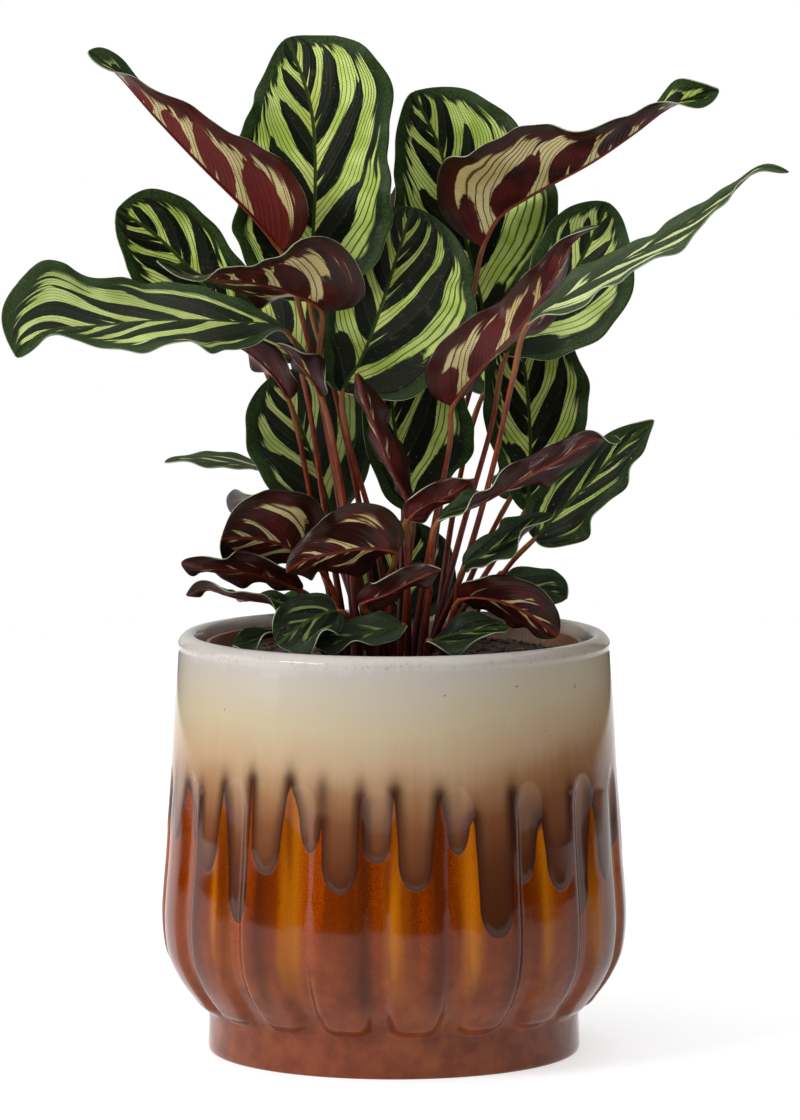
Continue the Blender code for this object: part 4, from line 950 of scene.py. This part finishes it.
# Each leaf's foot, stalk, rib, facing, left and right, and what differs from the usual. Stalk and rib
# points are (x, z, depth): x and z on the middle plane as the eye sees them, depth away from the eye.
LEAVES = [
    # the tallest leaf, left of the middle
    Leaf((-7, 0), [(-14, 230, -4), (-27, 290, -8)],
         [(-36, 322, -11), (-34.5, 350, -8), (-33.5, 378, 0), (-35.5, 405, 10), (-45, 434, 24)],
         [(-0.05, -1, 0.1), (0.02, -1, 0.1), (0.05, -1, 0.35)], [46, 40, 34, 34, 30, 22],
         [32, 38, 33, 34, 45, 48], fold=(8, 8), curl=(12, 10), wave=(1.6, 2.5, 0.1), widest=0.46),
    # tall leaf right of the middle, behind its neighbour
    Leaf((9, 14), [(20, 240, 18), (34, 290, 24)],
         [(38, 315, 26), (34, 335, 28), (27, 360, 30), (19, 388, 34), (8, 411, 42)],
         [(-0.2, -1, 0.1), (-0.1, -1, 0.1), (0, -1, 0.4)], [34, 30, 27, 26, 24, 22],
         [24, 40, 46, 42, 40, 40], fold=(10, 6), curl=(10, 14), wave=(1.6, 2.5, 0.4)),
    # high leaf at the left, folded along its rib, its underside out
    Leaf((-16, -6), [(-24, 240, -12), (-38, 310, -20)],
         [(-48, 343, -24), (-60, 358, -26), (-82, 380, -30), (-102, 401, -36), (-119, 420, -40),
          (-130, 428, -43)],
         [(0.6, 0.25, 0.7), (0.6, 0.25, 0.7), (0.6, 0.2, 0.7), (0.55, 0.1, 0.75), (0.3, -0.9, 0.4)],
         [35, 28, 22, 17, 13, 24], [22, 20, 17, 12, 10, 22], fold=([50, 55, 50, 25], [50, 55, 50, 10]),
         curl=(12, 12), wave=(1.6, 2.5, 0.3), widest=0.3),
    # leaf behind, between the high one and the broad one at the left
    Leaf((-13, 18), [(-26, 220, 20), (-48, 275, 23)],
         [(-62, 308, 24), (-78, 325, 26), (-92, 341, 26), (-104, 352, 24), (-118, 361, 20)],
         [(0.1, -1, 0.2), (0.1, -1, 0.2), (0, -1, 0.4)], [26, 26, 25, 25, 26], [24, 22, 20, 24, 30],
         wave=(1.5, 2.5, 0.2), widest=0.5),
    # broad leaf reaching far to the left, nearly level
    Leaf((-20, 0), [(-30, 235, -6), (-38, 285, -18)],
         [(-46, 309, -26), (-70, 313, -34), (-100, 313.5, -44), (-128, 311, -56), (-150, 308, -66),
          (-161, 298, -72)],
         [(0, -0.4, 0.9), (0, -0.42, 0.9), (0, -0.42, 0.88), (-0.1, -0.7, 0.7), (-0.3, -0.9, 0.4)],
         [21, 34, 39, 25, 9, 9], [14, 20, 28, 26, 42, 32], fold=(6, 10), curl=(6, 10),
         wave=(2.2, 2.5, 0.75), widest=0.5),
    # leaf arching forward at the left, its underside to the front
    Leaf((-10, -12), [(-22, 235, -16), (-32, 295, -22)],
         [(-31, 318, -28), (-45, 326, -44), (-62, 330, -64), (-80, 332, -84), (-92, 334, -98),
          (-101, 339, -106)],
         [(0.4, 0.4, 0.8), (-0.4, 0.5, 0.55), (-0.35, 0.5, 0.7), (0.1, 0.1, 0.95), (0.2, -0.6, 0.7)],
         [42, 30, 17, 12, 11, 14], [12, 15, 15, 13, 10, 10], fold=(8, 28), curl=(0, 0),
         wave=(2.2, 2.5, 0.2), widest=0.22),
    # broad leaf in the middle, lower down
    Leaf((0, -4), [(-9, 225, -8), (-20, 265, -20)],
         [(-22, 283, -25), (-14, 297, -21), (-6, 318, -11), (1, 340, 1), (8, 362, 15)],
         [(-0.25, -1, 0.2), (-0.1, -1, 0.35), (0, -1, 0.6)], [24, 24, 26, 28, 28], [40, 42, 42, 38, 36],
         fold=(8, 8), curl=(6, 8), wave=(1.5, 2, 0.3), widest=0.46),
    # leaf arching to the upper right, its underside to the front
    Leaf((11, 5), [(22, 250, 12), (33, 320, 17)],
         [(38, 345, 12), (45, 358, 5), (60, 368, -6), (84, 381, -22), (103, 394, -36), (118, 405, -46),
          (138, 412, -52)],
         [(0.1, 0.75, 0.5), (-0.05, 0.65, 0.75), (0, 0.68, 0.7), (0, 0.4, 0.9), (-0.1, -0.9, 0.4)],
         [16, 16, 14, 10, 12, 34], [34, 37, 33, 20, 12, 24], fold=(70, 6), wave=(2.6, 2.7, 0.1),
         widest=0.2),
    # narrow leaf reaching far to the right
    Leaf((14, -18), [(29, 205, -30), (42, 250, -46), (51, 290, -58)],
         [(57, 312, -64), (74, 324, -68), (98, 339, -72), (120, 352, -76), (142, 368, -80),
          (156, 379, -84), (168, 377, -86)],
         [(-0.25, -0.35, 0.9), (-0.25, -0.4, 0.85), (-0.3, -0.45, 0.8), (-0.2, -0.3, 0.9)],
         [10, 12, 9, 6, 5, 5], [14, 26, 24, 17, 12, 8], fold=(8, 8), wave=(1.5, 2.5, 0.3), widest=0.42),
    # curled leaf at the right, underside out
    Leaf((8, -12), [(16, 220, -20), (24, 262, -28)],
         [(25, 277, -34), (39, 295, -45), (54, 311, -54), (66, 328, -58), (77, 348, -60), (87, 354, -62)],
         [(-0.17, 0.63, 0.69), (0.1, 0.7, 0.6), (0.3, 0.8, 0.4), (0.3, 0.6, 0.7), (0.2, -0.4, 0.9)],
         [10, 10, 12, 14, 12, 8], [27, 22, 17, 14, 11, 8], fold=(50, 6), curl=(10, 14),
         wave=(2.2, 2.2, 0.2), widest=0.26),
    # leaf standing behind the curled one
    Leaf((16, 6), [(28, 220, 6), (42, 270, 4)],
         [(48, 299, 2), (60, 311, 4), (73, 328, 8), (84, 348, 12), (91, 364, 16)],
         [(0.1, -1, 0.3), (0, -1, 0.3), (0.1, -1, 0.5)], [14, 14, 16, 20, 24, 24], [16, 22, 28, 28, 24, 22],
         wave=(1.8, 2.5, 0.2), widest=0.5),
    # leaf standing low at the right
    Leaf((20, 14), [(36, 200, 18), (50, 222, 20)],
         [(56, 232, 20), (58, 250, 20), (58, 268, 21), (56, 290, 24), (52, 316, 30)],
         [(-0.1, -1, 0.1), (0, -1, 0.1), (0, -1, 0.3)], [14, 17, 20, 20, 18], [22, 25, 26, 29, 30],
         wave=(1.5, 2.5, 0.2), widest=0.5),
    # leaf in the shade left of the middle
    Leaf((-5, 14), [(-16, 205, 9)], [(-26, 230, 8), (-32, 248, 6), (-40, 268, 8), (-50, 291, 14)],
         [(-0.1, -1, 0.1), (0, -1, 0.15), (0, -1, 0.4)], [21, 24, 25, 26, 29], [20, 26, 30, 36, 40],
         fold=(8, 8), curl=(8, 8), wave=(1.3, 2, 0.2), widest=0.5),
    # leaf in the shade in the middle
    Leaf((4, 8), [(6, 205, 6)], [(8, 232, 4), (4, 246, 2), (1, 262, 0), (-1, 282, 0), (0, 300, 4)],
         [(0.1, -1, 0.1), (0.1, -1, 0.1), (0, -1, 0.2)], 14, [28, 34, 34, 34], curl=(8, 8),
         wave=(1.3, 2, 0.2), widest=0.5),
    # leaf lying in the shade at the left
    Leaf((-20, 20), [(-34, 215, 30)],
         [(-46, 246, 36), (-60, 251, 36), (-76, 253, 36), (-90, 254, 36), (-98, 253, 36)],
         [(0, -0.1, 1), (0, -0.22, 1), (0, -0.16, 1)], 6, 13, fold=(-2, 2), curl=(0, 0),
         wave=(1.6, 2, 0.2)),
    # low leaf at the left, underside out
    Leaf((-20, -14), [(-27, 200, -22)],
         [(-36, 211, -30), (-49, 218, -38), (-62, 220.5, -44), (-74, 220, -50)],
         [(0.3, 0.9, 0.25), (0.3, 0.9, 0.25), (0.3, 0.85, 0.3)], [26, 25, 23, 22], [22, 22, 23, 24],
         fold=(8, 8), curl=(14, 14), wave=(1.8, 2.2, 0.2), widest=0.48),
    # low leaf left of the middle, hooded
    Leaf((-6, -26), [(-4, 200, -42)],
         [(1, 214, -54), (-12, 216, -58), (-25, 214, -62), (-38, 211, -66), (-46, 206, -68)],
         [(0.1, 0.75, 0.6), (0.1, 0.8, 0.55), (0, 0.7, 0.6)], [22, 21, 14, 10], [13, 16, 16, 13],
         fold=(34, 8), curl=(30, 10), wave=(2.5, 2, 0), widest=0.4),
    # low leaf at the left, under the one above
    Leaf((-26, -6), [(-32, 190, -16)],
         [(-40, 198, -28), (-55, 204, -38), (-70, 207, -46), (-82, 208, -52), (-91, 210, -56)],
         [(0.1, 0.75, 0.6), (0.1, 0.75, 0.6), (0.1, 0.7, 0.6)], 9, 9, fold=(8, 8), wave=(1.2, 1.5, 0.2),
         widest=0.5),
    # low leaf at the left, edge on, its tip turned over
    Leaf((-22, -24), [(-28, 184, -36)],
         [(-40, 190, -48), (-54, 193, -56), (-68, 195, -62), (-80, 199, -66), (-89, 196, -68)],
         [(0, -0.4, 0.9), (0, -0.3, 0.95), (0, 0.3, 0.9), (0, 0.5, 0.8)], 9, 9, fold=(4, 4),
         wave=(1.2, 1.5, 0.2)),
    # low leaf hanging over the rim at the left
    Leaf((-14, -36), [(-18, 184, -48)],
         [(-24, 189, -61), (-33, 186.5, -66), (-42, 181, -70), (-50, 174.5, -72)],
         [(0, -0.6, 0.8), (-0.1, -0.7, 0.7), (-0.2, -0.8, 0.5)], [16, 17, 16, 16], [14, 14, 13, 13],
         wave=(1.8, 1.5, 0.2), widest=0.5),
    # small leaf lying beside it
    Leaf((-28, -30), [(-36, 180, -40)],
         [(-44, 180, -46), (-54, 178, -50), (-62, 175.5, -52), (-69, 174, -54)],
         [(0, -0.3, 0.9), (0, -0.2, 0.95)], 8, 8, wave=(1, 1.5, 0.2), widest=0.5),
    # low leaf hanging over the rim in the middle
    Leaf((2, -40), [(4, 182, -50)], [(4, 183, -54), (-8, 180, -60), (-22, 177, -64), (-34, 174, -66)],
         [(0, -0.5, 0.8), (0, -0.6, 0.8)], 10, 10),
    # small level leaf at the front
    Leaf((14, -36), [(14, 176, -44)], [(16, 176, -50), (26, 179, -56), (38, 181, -58), (49, 182, -58)],
         [(0, -0.6, 0.8), (0, -0.6, 0.8)], 9, 11, wave=(1.2, 1.5, 0.2)),
    # low leaf at the right, underside out, hanging over the rim
    Leaf((20, -26), [(24, 184, -34)], [(28, 194, -40), (42, 194, -46), (57, 188, -50), (70, 178, -50)],
         [(-0.1, 0.75, 0.6), (-0.1, 0.8, 0.5), (-0.1, 0.8, 0.5)], [14, 13, 10, 9], 13, fold=(8, 8),
         wave=(2, 1.5, 0.2), widest=0.5),
    # low leaf at the right, nearly level
    Leaf((26, 0), [(38, 196, 0), (48, 207, -4)],
         [(46, 198.5, -10), (55, 199, -14), (65, 197.5, -20), (74, 194.5, -24)],
         [(0.1, -0.7, 0.7), (0.1, -0.7, 0.7)], 12, 11, fold=(8, 8), wave=(1, 1.5, 0.2), widest=0.5),
    # long leaf rising to the right
    Leaf((24, -10), [(36, 190, -16), (52, 212, -24)],
         [(60, 220, -28), (72, 233, -32), (85, 246, -36), (98, 260, -40), (111, 271, -42)],
         [(0.1, -0.9, 0.4), (0.1, -0.9, 0.4), (0.2, -0.8, 0.5)], [18, 17, 14, 10, 10, 8],
         [20, 19, 14, 14, 12, 8], fold=(15, 15), wave=(1.8, 2, 0.2)),
    # twisted narrow leaf, green at its base and red towards its tip
    Leaf((12, -28), [(16, 205, -46)],
         [(19, 228, -60), (36, 235, -66), (54, 245, -70), (71, 254, -74), (86, 263, -76), (97, 262, -78)],
         [(0, -0.6, 0.8), (0.1, -0.2, 0.95), (0.1, 0.85, 0.4), (0.1, 0.9, 0.3), (0, -0.4, 0.9)],
         [10, 12, 9, 7, 8, 7], [12, 13, 9, 8, 8, 7], fold=(15, 15), wave=(1.2, 1.5, 0.2)),
    # small dark leaf below the twisted one
    Leaf((22, -18), [(26, 190, -30)],
         [(30, 208, -40), (40, 214, -46), (52, 221, -52), (62, 228, -56), (68, 230, -58)],
         [(0, -0.7, 0.7), (0, -0.6, 0.8), (0, -0.4, 0.9)], 10, 11, widest=0.4),
    # small leaf low in the middle, underside out
    Leaf((-2, -32), [(-8, 184, -46)], [(-14, 192, -56), (-4, 196, -62), (8, 202, -66), (20, 207, -68)],
         [(0, 0.8, 0.6), (0, 0.8, 0.6)], 6, 8, widest=0.4),
    # short leaf with a pale curled margin
    Leaf((6, -20), [(6, 205, -40)], [(6, 228, -48), (14, 235, -50), (24, 239, -51), (34, 246, -53)],
         [(-0.1, 0.75, 0.6), (-0.1, 0.8, 0.5), (0, 0.3, 0.9)], 8, 8, widest=0.4),
    # rolled young leaf standing in the middle
    Leaf((-2, -14), [(0, 210, -24)],
         [(6, 235, -34), (-1, 250, -38), (-7, 265, -42), (-13, 280, -45), (-16, 291, -47)],
         [(0.3, 0.9, 0.1), (0.3, 0.9, 0.1)], 9, 9, fold=(40, 40), curl=(30, 30), wave=(0.8, 1.5, 0.2)),
    # small leaf behind, at the left
    Leaf((-24, 6), [(-36, 240, 2)], [(-45, 280, -2), (-52, 291, -4), (-62, 300, -6), (-74, 306, -8)],
         [(0.3, 0.5, 0.8), (0.3, 0.5, 0.8)], 10, 11, fold=(20, 20), wave=(1, 1.5, 0.2), widest=0.4),
    # small leaf under the arching one
    Leaf((-15, -16), [(-22, 240, -22)],
         [(-31, 281, -30), (-36, 290, -32), (-43, 298, -36), (-50, 304, -40)],
         [(0.4, 0.3, 0.8), (0.4, 0.3, 0.8)], 9, 9, fold=(20, 20), wave=(1, 1.5, 0.2), widest=0.4),
    # back of the plant, upper left
    Leaf((-10, 22), [(-22, 240, 36)], [(-36, 296, 52), (-50, 312, 66), (-66, 322, 82), (-80, 328, 98)],
         [(0.1, -0.7, 0.75), (0.1, -0.6, 0.8), (0, -0.2, 0.95)], 31, 31, fold=(12, 12), wave=(2, 2.2, 0.3)),
    # back of the plant, upper middle
    Leaf((2, 20), [(6, 260, 38)], [(12, 326, 60), (16, 346, 72), (20, 364, 84), (24, 380, 98)],
         [(0, 0.85, -0.4), (0, 0.8, 0.2), (0.1, 0.6, 0.7)], 25, 25, fold=(8, 8), wave=(2, 2.2, 0.6)),
    # back of the plant, upper right
    Leaf((18, 24), [(26, 235, 38)], [(38, 282, 56), (52, 300, 72), (66, 314, 90), (80, 322, 108)],
         [(-0.3, -0.1, 0.9), (-0.3, 0.2, 0.9), (-0.1, 0.5, 0.8)], 26, 26, fold=(12, 12),
         wave=(2, 2.2, 0.1)),
    # back of the plant, middle height, left
    Leaf((-14, 26), [(-20, 200, 44)], [(-28, 216, 60), (-42, 226, 76), (-56, 231, 92), (-68, 230, 106)],
         [(0.2, 0.2, 0.9), (0.1, 0.3, 0.9), (0, 0.5, 0.8)], 22, 22, fold=(12, 12), wave=(1.8, 2.2, 0.2)),
    # back of the plant, middle height
    Leaf((4, 30), [(4, 215, 40)], [(4, 240, 54), (3, 254, 68), (3, 266, 84), (4, 274, 100)],
         [(0, 0.6, 0.7), (0, 0.5, 0.9), (0, 0.6, 0.7)], 24, 24, wave=(1.8, 2.2, 0.5)),
    # back of the plant, middle height, right
    Leaf((22, 30), [(38, 215, 44)], [(50, 238, 56), (58, 250, 70), (66, 260, 84), (74, 266, 98)],
         [(0, 0.5, 0.8), (0, 0.5, 0.9), (0, 0.6, 0.7)], 19, 19, wave=(1.6, 2.2, 0.5)),
    # back of the plant, low, left
    Leaf((-20, 30), [(-28, 180, 42)], [(-34, 188, 50), (-46, 192, 60), (-57, 194, 70), (-66, 193, 80)],
         [(0, 0.05, 1), (0, 0.1, 1)], 12, 12, fold=(8, 8), curl=(8, 8), wave=(1.2, 1.5, 0.5)),
    # back of the plant, low, right
    Leaf((14, 38), [(22, 182, 52)], [(28, 188, 60), (40, 191, 70), (50, 192, 82), (58, 191, 94)],
         [(0, 0.05, 1), (0, 0.1, 1)], 13, 13, fold=(8, 8), curl=(8, 8), wave=(1.2, 1.5, 0.5)),
    # back of the plant, low in the middle, behind the stalks
    Leaf((0, 42), [(0, 177, 46)], [(2, 184, 48), (3, 197, 50), (5, 212, 53), (7, 228, 58)],
         [(0, -1, 0.15), (0, -1, 0.2), (0, -0.9, 0.4)], 24, 24, fold=(8, 8), wave=(1.4, 1.7, 0.4)),
]


# by leaf number: how dull its pale bands are, partly the leaf's own and partly painted shade, as on leaf 7;
# how pale the whole leaf is, partly its own and partly painted light, as on leaves 11 and 13; where its first
# band starts and how far its veins spread from the rib
MOODS = {
    1: (0, 0, 0.4, 1), 2: (0, 0, 0.3, 1), 3: (0, 0.35, 0.15, 0.9), 5: (0, 0.15, 0.2, 0.7),
    7: (0.2, 0, 0.4, 1), 8: (0, 0, 0.3, 1.1), 9: (0, 0.5, 0.2, 0.55), 10: (0.1, 0.12, 0.1, 0.8),
    11: (0, 0.12, 0, 1), 12: (0.1, 0, 0, 1), 13: (0, 0.15, 0, 1), 15: (0.2, 0.5, 0, 0.5),
    18: (0.45, 0, 0.1, 0.7), 19: (0.6, 0, 0, 0.7), 20: (0.95, 0, 0.3, 0.9), 21: (0.85, 0, 0.2, 0.6),
    22: (0.9, 0.25, 0, 0.8), 23: (0.85, 0, 0.4, 0.6), 24: (0.3, 0, 0.2, 0.8), 25: (0.6, 0.1, 0, 1),
    26: (0.35, 0, 0.1, 0.45), 27: (0.5, 0, 0, 0.4), 28: (0.55, 0, 0, 0.6), 29: (0.6, 0, 0, 0.6),
    30: (0.5, 0.2, 0, 0.7), 31: (0.3, 0, 0, 0.7), 32: (0.4, 0.1, 0, 0.6), 33: (0.3, 0, 0, 0.6),
}


def make_floor():
    """A plain pale round floor that glows a little."""
    turn = circle(96)
    mesh = bpy.data.meshes.new("floor")
    mesh.from_pydata(stacked(1.5 * np.cos(turn), 1.5 * np.sin(turn), 0.0).tolist(), [], [tuple(range(96))])
    finish = Finish("floor_paint", 0.6)
    finish.surface["Emission Color"].default_value = (1.0, 1.0, 1.0, 1.0)
    finish.surface["Emission Strength"].default_value = 0.62
    mesh.materials.append(finish.done(finish.noise(0.004).mix("BCBCBC", "BEBEBE")))
    add_object("floor", mesh)


def add_light(name, place, aim, size, power):
    """A soft white rectangular light that the camera doesn't see."""
    lamp = bpy.data.lights.new(name, "AREA")
    lamp.shape = "RECTANGLE"
    lamp.size, lamp.size_y = size
    lamp.energy = power
    light = add_object(name, lamp)
    light.location = place
    light.rotation_euler = (Vector(aim) - Vector(place)).to_track_quat("-Z", "Y").to_euler()
    light.visible_camera = False
    return light


def make_studio():
    """Soft white light: a large key at the left, one overhead, and wide weak panels on all four sides."""
    middle = (0.0, 0.0, 0.22)
    add_light("key", (-2.15, -1.6, 1.9), middle, (1.35, 0.6), 60.0)
    add_light("top", (0.0, 0.0, 3.2), (0.0, 0.0, 0.0), (5.0, 5.0), 118.0)
    add_light("left", (-3.0, -0.2, 1.2), middle, (3.0, 2.2), 46.0)
    add_light("right", (3.0, 1.2, 1.1), middle, (3.6, 2.4), 3.0)
    add_light("back", (0.0, 3.4, 1.1), middle, (3.6, 2.4), 16.0)
    add_light("front", (-0.6, -3.6, 1.5), middle, (3.0, 2.0), 38.0).visible_glossy = False
    world = bpy.data.worlds.new("studio")
    bpy.context.scene.world = world
    world.use_nodes = True
    background = world.node_tree.nodes["Background"].inputs
    background["Color"].default_value = (1.0, 1.0, 1.0, 1.0)
    background["Strength"].default_value = 1.0
    world.cycles_visibility.diffuse = False
    world.cycles_visibility.glossy = False
    bpy.context.scene.view_settings.view_transform = "Standard"


def make_camera():
    """The photograph's view: about three metres off and half a metre up, looking slightly down."""
    lens = bpy.data.cameras.new("camera")
    lens.lens = 226.6
    lens.sensor_width = 36.0
    lens.clip_end = 50.0
    camera = add_object("camera", lens)
    camera.location = (0.00255, -3.0, 0.529)
    camera.rotation_euler = (math.radians(90 - 6.05), 0.0, 0.0)
    bpy.context.scene.camera = camera


def build():
    blade = [upper_finish(), under_finish(), stalk_finish(), edge_finish()]
    for number, leaf in enumerate(LEAVES, start=1):
        make_leaf(number, leaf, blade)
    make_pot(glaze_finish())
    make_cup(plastic_finish())
    make_soil(soil_finish())
    make_floor()
    make_studio()
    make_camera()


build()
